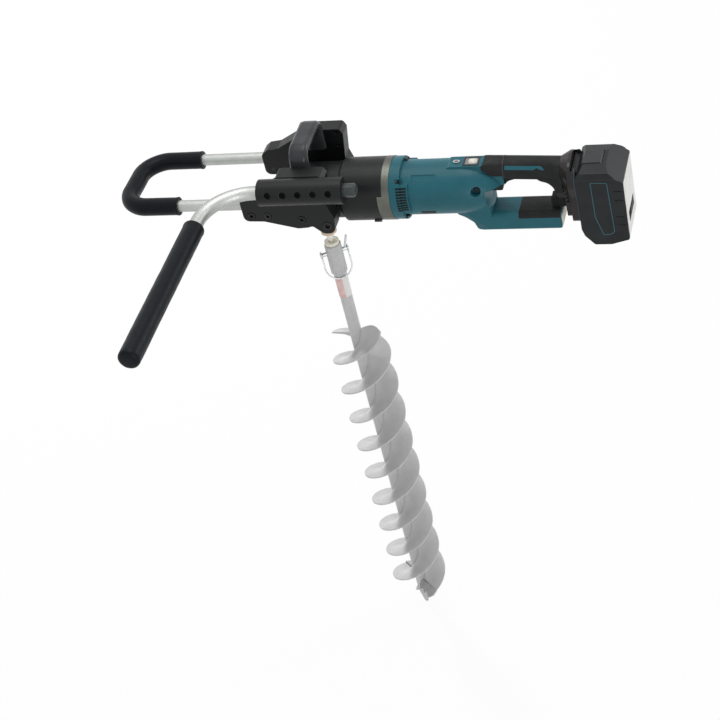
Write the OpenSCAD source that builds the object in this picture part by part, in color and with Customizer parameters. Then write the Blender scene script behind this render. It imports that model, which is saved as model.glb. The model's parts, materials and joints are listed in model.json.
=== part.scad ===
// Cordless earth auger: a right-angle drive head with a brushless motor, a rear D-handle with a slide-on
// battery, two side brackets that carry a loop handle, a carry bar and a side handle, and a pinned auger bit.
// Millimetres. The motor axis runs along X towards the battery, the auger axis along Z.
// Everything is drawn about the crossing of these two axes and then moved so that the origin is the
// middle of the carry bar, straight above the auger.

/* [Gear head] */
// Outer radius of the gear case
case_r = 43; // [42:0.5:46]
// Wall of the gear case
case_wall = 4; // [3:0.5:5]
// Outer radius of the head in front of the planet gears
head_r = 38.5; // [38:0.5:42]
// Auger axis to the front of the head
head_front = 41; // [40:1:50]
// Length of the bolted front cap
cap_len = 19; // [16:1:19]
// Rounding of the front cap
cap_round = 15; // [8:1:16]
// Auger axis to the rear end of the gear case
case_len = 103; // [100:1:115]
// Radius of the spindle snout
snout_r = 18; // [17.5:0.5:20]
// Motor axis to the snout's shoulder
snout_drop = 46; // [46:1:50]
// Radius of the snout's nose
nose_r = 12; // [11:0.5:14]
// Motor axis to the end of the nose
nose_drop = 63; // [60:1:74]
// Height of the dust ring under the nose
dust_ring_h = 8; // [5:0.5:10]

/* [Gear train] */
// Wall of the ring gear behind its teeth
ring_wall = 8.3; // [7.5:0.1:10]
// Face width of the planet gears
planet_w = 14; // [10:1:16]
// Pitch radius of the bevel gear
bevel_r = 26; // [24:0.5:27]
// Radius of the spindle in its bearings
spindle_r = 9; // [8:0.5:9.5]
// Radius of the pinion shaft
pinion_shaft_r = 7; // [6:0.5:8]

/* [Motor] */
// How far the cast collar stands proud of the gear case
collar_lip = 0.2; // [0.2:0.1:4]
// Length of the cast collar's ring
collar_len = 10; // [10:1:16]
// Length of the collar's chin under the gear case
chin_len = 7; // [5:0.5:12]
// Radius of the motor flange
flange_r = 42.5; // [42:0.5:48]
// Length of the motor flange
flange_len = 14.5; // [12:0.5:18]
// Radius of the motor barrel
barrel_r = 37; // [36.5:0.5:41]
// Length of the motor barrel
barrel_len = 77.5; // [74:0.5:90]
// Wall of the motor barrel
barrel_wall = 3; // [2.5:0.5:4]
// Length of the stator
stator_len = 40; // [32:1:44]
// Radius of the motor shaft
motor_shaft_r = 5; // [4:0.5:6]
// Number of vent slots on each side
vent_count = 9; // [5:1:10]

/* [Rear handle] */
// Length of the rounded body behind the barrel
body_len = 60; // [56:1:70]
// Barrel's rear end to the front of the grip cover
cover_step = 30.5; // [28:0.5:33]
// Width of the grip
grip_w = 30; // [28:1:34]
// Height of the grip
grip_h = 28; // [27:0.5:32]
// Motor axis to the middle of the grip
grip_z = 27; // [26:1:32]
// Rounding of the grip's section
grip_round = 11; // [6:0.5:12]
// Thickness of the grip cover
cover_t = 4; // [3:0.5:5]
// Clear height of the finger gap
finger_gap = 46; // [42:1:55]
// Clear length of the finger gap
finger_len = 84; // [80:1:100]
// Width of the lower arm
arm_w = 46; // [40:1:54]
// Height of the lower arm
arm_h = 26.5; // [24:0.5:32]
// Travel of the trigger
trigger_travel = 6; // [4:0.5:7]

/* [Battery] */
// Width of the battery
battery_w = 76; // [72:1:84]
// Length of the battery along its slide
battery_len = 113.5; // [108:0.5:130]
// Depth of the battery behind its mount
battery_depth = 61.5; // [58:0.5:75]
// Half width of the mount's flange
mount_half = 33; // [32:0.5:36]
// Length of the battery mount along the motor axis
mount_len = 22.5; // [20:0.5:28]

/* [Brackets] */
// Clear distance between the two brackets
bracket_gap = 88; // [87:1:96]
// Thickness of a bracket
bracket_t = 22; // [22:0.5:26]
// Height of the brackets' flat top above the motor axis
bracket_top = 68; // [66:1:74]
// Width of the carry bar
bar_w = 26; // [20:1:30]
// Thickness of the carry bar
bar_t = 13; // [10:0.5:15]
// Top of the carry bar above the motor axis
bar_top = 93; // [90:1:105]

/* [Loop handle] */
// Diameter of the loop's pipe
loop_pipe_d = 16; // [14:0.5:17]
// Wall of the loop's pipe
pipe_wall = 1.6; // [1.2:0.1:2.5]
// Auger axis to the front of the loop
loop_front = 279; // [240:1:320]
// Height of the loop above the motor axis
loop_z = 18.7; // [17.5:0.1:20]
// Bend radius of the loop's pipe
loop_bend_r = 36; // [30:1:42]
// Diameter of the loop's foam
loop_foam_d = 25; // [22:0.5:32]
// Auger axis to the rear ends of the loop's foam
loop_foam_x = 181.6; // [150:0.2:200]

/* [Side handle] */
// Diameter of the side handle's pipe
side_pipe_d = 19; // [17:0.5:20]
// Outer radius of the holder
holder_r = 18; // [17:0.5:20]
// Length of the holder
holder_len = 117; // [110:1:130]
// Height of the side handle above the motor axis
side_z = 52.5; // [51:0.5:56]
// Bend radius of the side handle's pipe
side_bend_r = 62; // [50:1:75]
// Length of the side handle's foam
side_foam_len = 256; // [200:1:300]
// Diameter of the side handle's foam
side_foam_d = 29; // [25:0.5:34]
// How far the side handle can be pulled out of its holder
side_reach = 60; // [40:1:70]

/* [Coupler] */
// Outer radius of the coupler
coupler_r = 12; // [11.8:0.1:14]
// Length of the coupler
coupler_len = 53; // [50:1:70]
// Radius of the drive adapter in the coupler
adapter_r = 10.2; // [9.7:0.1:10.4]
// Radius of the cross pin
cross_pin_r = 3; // [2.5:0.1:3.5]
// Diameter of the clip's wire
clip_wire_d = 2.2; // [1.8:0.1:2.6]

/* [Auger] */
// Radius of the auger's shaft
auger_shaft_r = 9; // [8.6:0.1:9.4]
// Radius of the flighting
flight_r = 43.5; // [35:0.5:75]
// Pitch of each of the two flights
flight_pitch = 117; // [100:1:140]
// Turns of each flight
flight_turns = 4.6; // [2:0.1:5]
// Thickness of the flighting
flight_t = 4; // [3:0.2:6]
// Length of the pilot point
pilot_len = 45; // [35:1:60]

/* [Hidden] */
$fn = 64;

black = "#2b2c2d";
teal = "#28697a";
silver = "#8c8a86";
bright = "#d0d2d0";
steel = "#9a9c9e";
foam = "#1c1d1f";
grey = "#a5a5a8";
pale = "#e4dfd2";

// Clearances: a running shaft, a seated piece, and pieces that pass each other
fit = 0.05;
seat = 0.03;
pass = 0.3;

// Places along the motor axis
case_in_r = case_r - case_wall;
collar_r = case_r + collar_lip;
head_in_r = head_r - 3.5;
cap_x = cap_len - head_front;
collar_x = case_len;
flange_x = collar_x + collar_len;
barrel_x = flange_x + flange_len;
body_x = barrel_x + barrel_len;
cover_x = body_x + cover_step;
gap_x = body_x + 41;
gap_end_x = gap_x + finger_len;
mount_x = gap_end_x + 10;
battery_x = mount_x + mount_len;

// Gear train: bevel pair on the crossing of the axes, then a planet stage
bevel_teeth = 24;
pinion_teeth = 12;
bevel_drop = bevel_r * pinion_teeth / bevel_teeth;
bevel_taper = 0.68;
bevel_back = 8;
bevel_hub_r = 14;
sun_teeth = 15;
planet_teeth = 15;
ring_teeth = sun_teeth + 2 * planet_teeth;
pressure = 25;
addendum = 0.82;
dedendum = 1.12;
gear_module = (case_in_r - ring_wall) / (ring_teeth / 2 + dedendum);
orbit_r = gear_module * (sun_teeth + planet_teeth) / 2;
bearing_w = 10;
web_x = bevel_r + 7;
web_t = 12;
pinion_bearing_r = 19;
carrier_x = web_x + web_t + 4;
carrier_t = 8;
planet_x = carrier_x + carrier_t + 2;
ring_x = planet_x - 1;
ring_w = planet_w + 3;
planet_pin_r = 3.5;

// Spindle and snout
boss_z = 18.5;
boss_r = 21;
top_bearing_r = 18;
lower_bearing_r = 14.5;
lower_bearing_z = -snout_drop + 2;
neck_r = 5.25;
neck_end_z = -nose_drop - dust_ring_h - 29.5;
collar_end_z = -nose_drop - dust_ring_h;
adapter_z = collar_end_z - 15.5;
coupler_top_z = adapter_z - 5;
coupler_end_z = coupler_top_z - coupler_len;
socket_depth = coupler_len - 10;
pin_z = coupler_top_z - 15;
pin_azimuth = 28;
pin_half = 21;

// Motor
barrel_in_r = barrel_r - barrel_wall;
stator_x = barrel_x + 11;
rotor_r = 19.5;
rear_web_x = stator_x + stator_len + 6;
fan_x = flange_x + 4;
front_bearing_r = 13;
rear_bearing_r = 11;
small_bearing_w = 8;
chin_t = 3;
chin_top = 14;

// Rear handle
grip_tilt = 3;
grip_pivot = gap_x + 18;
grip_bottom = grip_z - grip_h / 2;
grip_top = grip_z + grip_h / 2;
arm_top = grip_bottom - finger_gap;
arm_bottom = arm_top - arm_h;
arm_x = body_x + 10;
arm_end_x = gap_end_x + 5;
pod_z = barrel_r + 1;
pod_half = 12;
root_z = grip_z - 4.3;
root_end = gap_x + 18;
guard_z = 7.5;
guard_half = 12.5;
core_w = grip_w - 2 * cover_t;
core_h = grip_h - 2 * cover_t;
gap_front = gap_x - 6;
trigger_x = gap_front + 0.5;
trigger_len = 21;
trigger_w = 14;
pad_x = gap_x + 32;
pad_len = arm_end_x - 1 - pad_x;
pad_t = 2;

// Battery
rail_half = 25;
stem_half = 21.5;
rail_depth = 7;
lip = 3.4;
battery_top = grip_top - 3;
battery_bottom = battery_top - battery_len;
mount_top = grip_top;
mount_bottom = -46;
rail_bottom = mount_bottom + 6;

// Brackets, bar and handles
bracket_in = bracket_gap / 2;
bracket_out = bracket_in + bracket_t;
arm_y = bracket_in + bracket_t / 2;
bracket_front = -88;
socket_len = 43;
bar_z = bar_top - bar_t / 2;
bar_bend = 8;
bar_leg_end = bracket_top - 24;
loop_x = loop_front - loop_foam_d / 2;
side_y = -(bracket_out + 2 + side_pipe_d / 2);
holder_x = -49;
holder_end = holder_x + holder_len;
side_bend_x = holder_x - 8;
side_x = side_bend_x - side_bend_r;
side_foam_y = side_y - side_bend_r - 14;
plug_out = 17;
bolts = [[-76, 6.4, 5.2], [-53, 5.6, 5.2], [-6, -1.5, 5.2], [28, -13.5, 7]];
bolt_sink = 4;
bolt_end = bracket_in - 5;

// Auger
shaft_end_z = -800;
flight_end_z = shaft_end_z + 13;
flight_steps = 40;
flight_in = auger_shaft_r + 0.1;
flight_azimuth = 139;

// Moves the drawing so that the origin is the middle of the carry bar
module placed() translate([0, 0, -bar_z]) children();

// A straight cylinder along X, or along Z, between two places
module x_cyl(r, from, to) translate([from, 0, 0]) rotate([0, 90, 0]) cylinder(r = r, h = to - from);
module z_cyl(r, from, to) translate([0, 0, from]) cylinder(r = r, h = to - from);

// A profile of [radius, x] points turned about the motor axis
module turned_x(points) rotate([0, 90, 0]) rotate_extrude() polygon(points);

// An outline in Y and Z drawn out along X, and one in X and Z drawn out along Y
module along_x(from, to) translate([from, 0, 0]) rotate([90, 0, 90]) linear_extrude(to - from) children();
module along_y(from, to) translate([0, to, 0]) rotate([90, 0, 0]) linear_extrude(to - from) children();

// A block between two corners
module block(low, high) translate(low) cube(high - low);

// Points of a fillet of radius r at corner q between p and s
function fillet(p, q, s, r, n = 6) =
  let (
    u = (p - q) / norm(p - q),
    v = (s - q) / norm(s - q),
    half = acos(max(-1, min(1, u * v))) / 2,
    centre = q + (u + v) / norm(u + v) * r / sin(half),
    a = q + u * r / tan(half) - centre,
    b = q + v * r / tan(half) - centre,
    start = atan2(a.y, a.x),
    turn = (atan2(b.y, b.x) - start + 540) % 360 - 180
  )
  [for (i = [0:n]) centre + r * [cos(start + turn * i / n), sin(start + turn * i / n)]];

// A closed outline from [x, y, corner radius] points
function outline(points) =
  let (count = len(points))
  [
    for (i = [0:count - 1])
      let (
        p = points[(i + count - 1) % count],
        q = points[i],
        s = points[(i + 1) % count]
      )
      each q[2] > 0 ? fillet([p.x, p.y], [q.x, q.y], [s.x, s.y], q[2]) : [[q.x, q.y]]
  ];

// A rectangle with round corners, centred
function round_box(w, h, r) =
  outline([[w / 2, h / 2, r], [-w / 2, h / 2, r], [-w / 2, -h / 2, r], [w / 2, -h / 2, r]]);

function polar(r, a) = [r * cos(a), r * sin(a)];

// Involute gear: half the angle of a tooth at radius r, and the outline with a tooth at angle 0
function involute(a) = tan(a) * 180 / PI - a;
function tooth_half(r, teeth, thin) =
  let (
    base = gear_module * teeth / 2 * cos(pressure),
    a = r > base ? acos(base / r) : 0
  )
  90 / teeth - thin + involute(pressure) - involute(a);
function gear_outline(teeth, low, high, thin) =
  let (
    flank = 3,
    radii = [for (k = [0:flank]) gear_module * teeth / 2 + gear_module * (low + (high - low) * k / flank)]
  )
  [
    for (i = [0:teeth - 1])
      let (c = 360 * i / teeth)
      each concat(
        [for (k = [0:flank]) polar(radii[k], c - tooth_half(radii[k], teeth, thin))],
        [for (k = [flank:-1:0]) polar(radii[k], c + tooth_half(radii[k], teeth, thin))]
      )
  ];

// Bevel gear: the outline of its large end, whose teeth all run to the crossing of the axes.
// drop is the distance of that end from the crossing, cone its pitch angle and shares the half angles
// of a tooth at its tip, pitch line and root, as parts of the tooth pitch.
function bevel_outline(teeth, drop, cone, shares, turn = 0) =
  let (
    tip = drop * tan(cone + 3.5),
    middle = drop * tan(cone),
    root = drop * tan(cone - 4.5),
    step = 360 / teeth
  )
  [
    for (i = [0:teeth - 1])
      let (c = i * step + turn)
      each [
        polar(root, c - step * shares[2]),
        polar(middle, c - step * shares[1]),
        polar(tip, c - step * shares[0]),
        polar(tip, c + step * shares[0]),
        polar(middle, c + step * shares[1]),
        polar(root, c + step * shares[2])
      ]
  ];

// A quarter bend and a straight run of pipe; with inner above 0 they are hollow
module pipe_bend(r, bend, inner) rotate_extrude(angle = 90) translate([bend, 0]) difference() {
  circle(r);
  if (inner > 0) circle(inner);
}
module pipe_run(r, len, inner) difference() {
  cylinder(r = r, h = len);
  if (inner > 0) translate([0, 0, -1]) cylinder(r = inner, h = len + 2);
}

// Gear head
module gear_case() color(black) placed() difference() {
  union() {
    x_cyl(head_r, cap_x, web_x + 8);
    turned_x([[0, web_x + 6], [head_r, web_x + 8], [case_r, web_x + 12], [case_r, case_len], [0, case_len]]);
    block([-18, -bracket_in, -20], [36, bracket_in, 14]);
    z_cyl(snout_r, -snout_drop, 0);
    translate([0, 0, -snout_drop - 6]) cylinder(r1 = nose_r, r2 = snout_r, h = 6);
    z_cyl(nose_r, -nose_drop, -snout_drop);
  }
  difference() {
    x_cyl(head_in_r, cap_x - 1, web_x);
    z_cyl(boss_r, boss_z, case_r);
    z_cyl(snout_r, -case_r, lower_bearing_z + bearing_w);
  }
  x_cyl(case_in_r, web_x + web_t, case_len + 1);
  x_cyl(pinion_bearing_r + seat, web_x - 1, web_x + web_t + 1);
  z_cyl(top_bearing_r + seat, boss_z - 1, boss_z + bearing_w);
  z_cyl(lower_bearing_r + seat, lower_bearing_z, lower_bearing_z + bearing_w + 1);
  z_cyl(bevel_hub_r + 1, lower_bearing_z + bearing_w, 0);
  z_cyl(spindle_r + pass, -nose_drop - 1, 0);
  chin_space(case_r - chin_t, case_r + 2, case_len - chin_len, case_len + 1, 0);
  chin_screws(seat);
  for (side = [0, 1], k = [2, 3]) mirror([0, side, 0]) at_bolt(k)
    translate([0, 0, bolt_end - seat]) cylinder(r = bolts[k].z * 0.55 + seat, h = bracket_t);
}

// The part of a ring round the motor axis that lies under the chin's upper edge
module chin_space(inner, outer, from, to, room) intersection() {
  difference() {
    x_cyl(outer, from, to);
    x_cyl(inner, from - 1, to + 1);
  }
  block([from - 1, -outer - 1, -outer - 1], [to + 1, outer + 1, chin_top - room]);
}

function cap_shell(r, front) = outline([
  [0, cap_x, 0], [r, cap_x, 0], [r, front, cap_round], [0, front, 0]
]);
module head_cap() color(black) placed() difference() {
  turned_x(cap_shell(head_r, -head_front));
  turned_x([
    for (p = cap_shell(head_in_r, case_wall + 1 - head_front)) [p.x, p.y == cap_x ? cap_x + 1 : p.y]
  ]);
}

cap_screw_ring = head_r - cap_round - 5;
chin_screw_r = 2.8;
module chin_screws(room) for (side = [-1, 1]) rotate([side * 45, 0, 0]) translate([0, 0, -case_r - 0.5])
  x_cyl(chin_screw_r + room, case_len - chin_len - 13 - room, case_len - chin_len - 3.5 + room);
module case_screws() color(steel) placed() {
  for (a = [45:90:315])
    rotate([a, 0, 0]) translate([0, 0, cap_screw_ring]) x_cyl(4.5, -head_front - 4, -head_front);
  chin_screws(0);
}

module dust_ring() color(pale) placed() difference() {
  z_cyl(nose_r - 0.8, collar_end_z, -nose_drop);
  z_cyl(spindle_r - 2.5 + pass, collar_end_z - 1, -nose_drop + 1);
}

module spindle() color(steel) placed() rotate_extrude() polygon([
  [0, boss_z + bearing_w], [spindle_r, boss_z + bearing_w], [spindle_r, -nose_drop + 2],
  [spindle_r - 2.5, -nose_drop + 1], [spindle_r - 2.5, collar_end_z - 2], [neck_r, collar_end_z - 3],
  [neck_r, neck_end_z], [0, neck_end_z]
]);

module bearing(outer, inner, w) difference() {
  cylinder(r = outer, h = w);
  translate([0, 0, -1]) cylinder(r = inner, h = w + 2);
  for (z = [-1, w - 0.8]) translate([0, 0, z]) difference() {
    cylinder(r = outer - 2, h = 1.8);
    cylinder(r = inner + 2, h = 1.8);
  }
}
module x_bearing(x, outer, inner, w) color(steel) placed() translate([x, 0, 0]) rotate([0, 90, 0])
  bearing(outer, inner, w);
module spindle_top_bearing() color(steel) placed() translate([0, 0, boss_z])
  bearing(top_bearing_r, spindle_r + fit, bearing_w);
module spindle_lower_bearing() color(steel) placed() translate([0, 0, lower_bearing_z])
  bearing(lower_bearing_r, spindle_r + fit, bearing_w);
module pinion_bearing() x_bearing(web_x + 1, pinion_bearing_r, pinion_shaft_r + fit, bearing_w);

bevel_cone = atan(bevel_teeth / pinion_teeth);
module bevel_gear() color(steel) placed() difference() {
  union() {
    translate([0, 0, -bevel_drop]) linear_extrude(bevel_drop * (1 - bevel_taper), scale = bevel_taper)
      polygon(bevel_outline(bevel_teeth, bevel_drop, bevel_cone, [0.105, 0.205, 0.31]));
    z_cyl(bevel_drop * tan(bevel_cone - 4.5), -bevel_drop - bevel_back, -bevel_drop);
    z_cyl(bevel_hub_r, lower_bearing_z + bearing_w + 1, -bevel_drop);
  }
  z_cyl(spindle_r + seat, -case_r, case_r);
}
module bevel_pinion() color(steel) placed() {
  translate([bevel_r, 0, 0]) rotate([0, -90, 0]) linear_extrude(bevel_r * (1 - bevel_taper), scale = bevel_taper)
    polygon(bevel_outline(pinion_teeth, bevel_r, 90 - bevel_cone, [0.1, 0.2, 0.23], 180 / pinion_teeth));
  x_cyl(bevel_drop * 0.78, bevel_r, web_x - 2);
  x_cyl(pinion_shaft_r, web_x - 2, carrier_x + carrier_t);
}

module planet_carrier() color(steel) placed() {
  difference() {
    x_cyl(orbit_r + 6, carrier_x, carrier_x + carrier_t);
    x_cyl(pinion_shaft_r + seat, carrier_x - 1, carrier_x + carrier_t + 1);
  }
  for (k = [0:2]) at_planet(k) x_cyl(planet_pin_r, carrier_x + carrier_t, planet_x + planet_w);
}
module at_planet(k) rotate([120 * k, 0, 0]) translate([0, orbit_r, 0]) children();
module planet_gear(k) color(steel) placed() at_planet(k) difference() {
  along_x(planet_x, planet_x + planet_w) polygon(gear_outline(planet_teeth, -dedendum, addendum, 0.45));
  x_cyl(planet_pin_r + fit, planet_x - 1, planet_x + planet_w + 1);
}
module planet_gear_a() planet_gear(0);
module planet_gear_b() planet_gear(1);
module planet_gear_c() planet_gear(2);
module ring_gear() color(steel) placed() along_x(ring_x, ring_x + ring_w) difference() {
  circle(case_in_r - seat);
  polygon(gear_outline(ring_teeth, -addendum, dedendum, -0.15));
}
module sun_gear() color(steel) placed() difference() {
  along_x(planet_x, planet_x + planet_w) polygon(gear_outline(sun_teeth, -dedendum, addendum, 0.45));
  x_cyl(motor_shaft_r + seat, planet_x - 1, planet_x + planet_w + 1);
}

// Motor
module motor_shaft() color(steel) placed()
  x_cyl(motor_shaft_r, planet_x, rear_web_x + 1 + small_bearing_w);
module rotor_core() color(steel) placed() difference() {
  x_cyl(rotor_r, stator_x + 1, stator_x + stator_len - 1);
  x_cyl(motor_shaft_r + seat, stator_x, stator_x + stator_len);
}
module stator() color("#b06a3a") placed() difference() {
  x_cyl(barrel_in_r - seat, stator_x, stator_x + stator_len);
  x_cyl(rotor_r + 0.6, stator_x - 1, stator_x + stator_len + 1);
}
fan_len = barrel_x + 4 - fan_x;
module fan() color(black) placed() {
  difference() {
    x_cyl(barrel_in_r - 3, fan_x, fan_x + 2);
    x_cyl(motor_shaft_r + seat, fan_x - 1, fan_x + 3);
  }
  difference() {
    x_cyl(motor_shaft_r + 4, fan_x + 2, fan_x + fan_len);
    x_cyl(motor_shaft_r + seat, fan_x, fan_x + fan_len + 1);
  }
  for (a = [0:30:330]) rotate([a, 0, 0])
    block([fan_x + 2, motor_shaft_r + 3, -0.8], [fan_x + fan_len, barrel_in_r - 3.5, 0.8]);
}
module motor_front_bearing()
  x_bearing(flange_x - small_bearing_w, front_bearing_r, motor_shaft_r + fit, small_bearing_w);
module motor_rear_bearing()
  x_bearing(rear_web_x + 1, rear_bearing_r, motor_shaft_r + fit, small_bearing_w);

module gearbox_collar() color(silver) placed() {
  difference() {
    x_cyl(collar_r, collar_x, flange_x);
    x_cyl(case_in_r - 3, collar_x - 1, flange_x - small_bearing_w - 1);
    x_cyl(front_bearing_r + seat, flange_x - small_bearing_w, flange_x + 1);
    x_cyl(motor_shaft_r + 1, collar_x, flange_x);
    at_axial() x_cyl(1.8 + seat, flange_x - 6 - seat, flange_x + 1);
  }
  chin_space(case_r - chin_t + seat, collar_r, case_len - chin_len, collar_x, pass);
}

// Motor housing and rear handle, drawn whole and then parted along the middle
function bulb_r(x) = barrel_r * sqrt(max(0, 1 - pow((x - body_x) / body_len, 2)));
bulb_steps = 14;
module bulb() turned_x(concat(
  [[0, barrel_x]],
  [[barrel_r, barrel_x]],
  [for (i = [0:bulb_steps - 1]) let (x = body_x + body_len * sin(90 * i / bulb_steps)) [bulb_r(x), x]],
  [[0, body_x + body_len]]
));

// The grip lies a little lower at the battery end
module in_grip() translate([grip_pivot, 0, grip_z]) rotate([0, grip_tilt, 0]) children();
module grip_bar(w, h, r, from, to) in_grip() along_x(from - grip_pivot, to - grip_pivot)
  polygon(round_box(w, h, r));

// Side view of everything that the black cover takes up
module cover_outline(room) polygon(outline([
  [cover_x - room, grip_z + 7, 4], [cover_x + 2.5 - room, pod_z + 0.6, 3], [cover_x + 20, grip_top + 1.5, 6],
  [mount_x + 20, grip_top + 9, 0], [mount_x + 20, -20, 0], [root_end, -20, 0], [root_end, root_z - room, 0],
  [cover_x + 14 - room, root_z - room, 14]
]));

module arm_outline() polygon(outline([
  [arm_x - 20, 0, 0], [arm_x - 20, -barrel_r + 3.5, 4], [arm_x - 9, -barrel_r - 1, 10],
  [arm_x + 1.5, -barrel_r - 9.5, 8], [arm_x + 4.5, arm_bottom, 4], [arm_end_x, arm_bottom, 5],
  [arm_end_x, arm_top, 4], [gap_x + 6, arm_top, 14], [gap_x + 2, 0, 0]
]));
arm_round = 9;
arm_edge = 3;
module arm_section(inset = 0) polygon(outline([
  [arm_w / 2 - arm_edge, arm_bottom, 0], [arm_w / 2 - inset, arm_bottom + arm_edge, 0],
  [arm_w / 2 - inset, arm_top - inset, arm_round - inset],
  [inset - arm_w / 2, arm_top - inset, arm_round - inset],
  [inset - arm_w / 2, arm_bottom + arm_edge, 0], [arm_edge - arm_w / 2, arm_bottom, 0]
]));
// Slanting facets on the lower front corners of the arm
module arm_facets() for (side = [0, 1]) mirror([0, side, 0])
  translate([arm_x + 6, -arm_w / 2, arm_bottom + 17.5]) rotate([0, 44, 0]) rotate([20, 0, 0])
    block([-30, -20, -40], [60, 0, 0]);
module arm_solid() difference() {
  arm_body();
  arm_facets();
}
module arm_body() intersection() {
  along_y(-arm_w / 2, arm_w / 2) arm_outline();
  union() {
    along_x(gap_x - 4, arm_end_x + 1) arm_section();
    along_x(arm_x - 30, gap_x - 4) polygon([
      [arm_w / 2 - arm_edge, arm_bottom], [arm_w / 2, arm_bottom + arm_edge], [arm_w / 2, 1], [-arm_w / 2, 1],
      [-arm_w / 2, arm_bottom + arm_edge], [arm_edge - arm_w / 2, arm_bottom]
    ]);
  }
}

// Side view of the opening for the fingers, with the trigger at its upper front
module gap_outline() polygon(outline([
  [gap_front, arm_top, 17], [gap_end_x + 40, arm_top, 0], [gap_end_x + 40, guard_z + 3, 0],
  [gap_x + 24, guard_z + 3, 0], [root_end, guard_z, 2], [gap_front, guard_z, 3]
]));

module pad_space(room) difference() {
  intersection() {
    along_x(pad_x - room, pad_x + pad_len + room) arm_section(-room);
    block([0, -arm_w, arm_top - 7.5 - room], [arm_end_x, arm_w, arm_top + 1]);
  }
  along_x(pad_x - 5, arm_end_x) arm_section(pad_t + room);
}

// Teal strips in the shoulders of the grip
strip_lean = 31;
strip_half = 2.7;
strip_from = 4;
strip_to = 57;
function strip_outline(room) = [
  [strip_from - room, strip_half + room], [strip_to - 5 + room, strip_half + room], [strip_to + room, -strip_half - room],
  [strip_to - 5 - room, -strip_half - room], [strip_to - 11, 0.2 - room], [strip_to - 15 + room, -strip_half - room],
  [strip_from - room, -strip_half - room]
];
module strips(room) in_grip() for (side = [0, 1]) mirror([0, side, 0]) rotate([-strip_lean, 0, 0])
  translate([0, -core_w / 2 + 1, 0]) rotate([90, 0, 0]) linear_extrude(grip_w / 2) polygon(strip_outline(room));
module core() union() {
  grip_bar(core_w, core_h, grip_round - cover_t, cover_x - 6, mount_x - 1);
  intersection() {
    strips(0);
    grip_bar(grip_w + 0.3, grip_h + 0.3, grip_round, cover_x, mount_x);
  }
}

// Raised vent pads on both sides behind the flange
vent_r = flange_r - 1.5;
vent_pitch = 5.5;
vent_top = 31.7;
vent_len = 11;
module vent_pads() intersection() {
  x_cyl(vent_r, barrel_x - 2, barrel_x + vent_len);
  block([barrel_x - 3, -vent_r, -15], [barrel_x + vent_len + 1, vent_r, 25]);
}
module vents() for (side = [0, 1], k = [0:vent_count - 1]) mirror([0, side, 0])
  rotate([vent_pitch * k - vent_top, 0, 0])
    block([barrel_x - 3.5, -flange_r - 2, -0.9], [barrel_x + vent_len - 2, -barrel_in_r + 4, 0.9]);

// Axial screws hold the motor housing to the collar, cross screws hold the halves together:
// for each cross screw its x, its z, the depth of its head, its side and the radius of its recess
axial_r = flange_r - 3.3;
axial_x = flange_x + 9;
module at_axial() for (a = [45:90:315]) rotate([a, 0, 0]) translate([0, 0, axial_r]) children();
cross_screws = [
  [body_x + 24.2, 10.5, 24, 0, 6.5],
  [arm_x + 18, arm_bottom + 9, arm_w / 2 - 6, 1, 4.5],
  [arm_end_x - 10, arm_bottom + 9, arm_w / 2 - 6, 1, 4.5]
];
module at_cross(s) mirror([0, s[3], 0]) translate([s.x, 0, s.y]) rotate([90, 0, 0]) children();

// Shallow sunk panels high on both sides of the barrel
side_panel_lean = 39.5;
side_panel_half = 5.6;
side_panel_x = barrel_x + 15;
side_panel_len = 33;
side_panel_depth = 1.3;
module side_panels() for (side = [0, 1]) mirror([0, side, 0]) rotate([side_panel_lean, 0, 0])
  translate([side_panel_x, 0, barrel_r - side_panel_depth]) linear_extrude(5) polygon(outline([
    [0, side_panel_half, 1.5], [1.5, -side_panel_half, 1.5], [side_panel_len - 2, -side_panel_half, 2],
    [side_panel_len + 1, side_panel_half, 2]
  ]));

module housing() difference() {
  union() {
    x_cyl(flange_r, flange_x, barrel_x);
    vent_pads();
    difference() {
      union() {
        bulb();
        along_y(-pod_half, pod_half) polygon(outline([
          [body_x - 18, 0, 0], [body_x - 18, pod_z - 5, 0], [body_x - 13, pod_z, 5], [cover_x + 4, pod_z, 0],
          [cover_x + 4, 0, 0]
        ]));
        block([gap_front - 3, -guard_half, guard_z - 4], [root_end, guard_half, root_z + 6]);
      }
      along_y(-barrel_r - 1, barrel_r + 1) cover_outline(seat);
    }
    arm_solid();
    core();
  }
  along_y(-barrel_r - 1, barrel_r + 1) gap_outline();
  x_cyl(barrel_in_r, flange_x - 1, rear_web_x);
  x_cyl(rear_bearing_r + seat, rear_web_x - 1, rear_web_x + 1 + small_bearing_w);
  vents();
  side_panels();
  pad_space(seat);
  trigger_space(pass);
  switch_space(seat);
  controller_space(seat);
  panel_space(seat);
  button_space(pass);
  at_axial() {
    x_cyl(4.2, axial_x, barrel_x + 4);
    x_cyl(1.8 + seat, flange_x - 1, axial_x + 1);
  }
  for (s = cross_screws) at_cross(s) {
    translate([0, 0, s[2]]) cylinder(r = s[4], h = 40);
    translate([0, 0, -8]) cylinder(r = 1.8 + seat, h = 60);
  }
}
module near_half() intersection() {
  children();
  block([0, -80, -200], [700, 0, 200]);
}
module far_half() intersection() {
  children();
  block([0, 0, -200], [700, 80, 200]);
}
module housing_near() color(teal) placed() near_half() housing();
module housing_far() color(teal) placed() far_half() housing();
module housing_screws() color(steel) placed() {
  at_axial() {
    x_cyl(3.4, axial_x, axial_x + 3.5);
    x_cyl(1.8, flange_x - 6, axial_x);
  }
  for (s = cross_screws) at_cross(s) {
    translate([0, 0, s[2]]) cylinder(r = 3.4, h = 3);
    translate([0, 0, -7]) cylinder(r = 1.8, h = s[2] + 7);
  }
}

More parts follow.
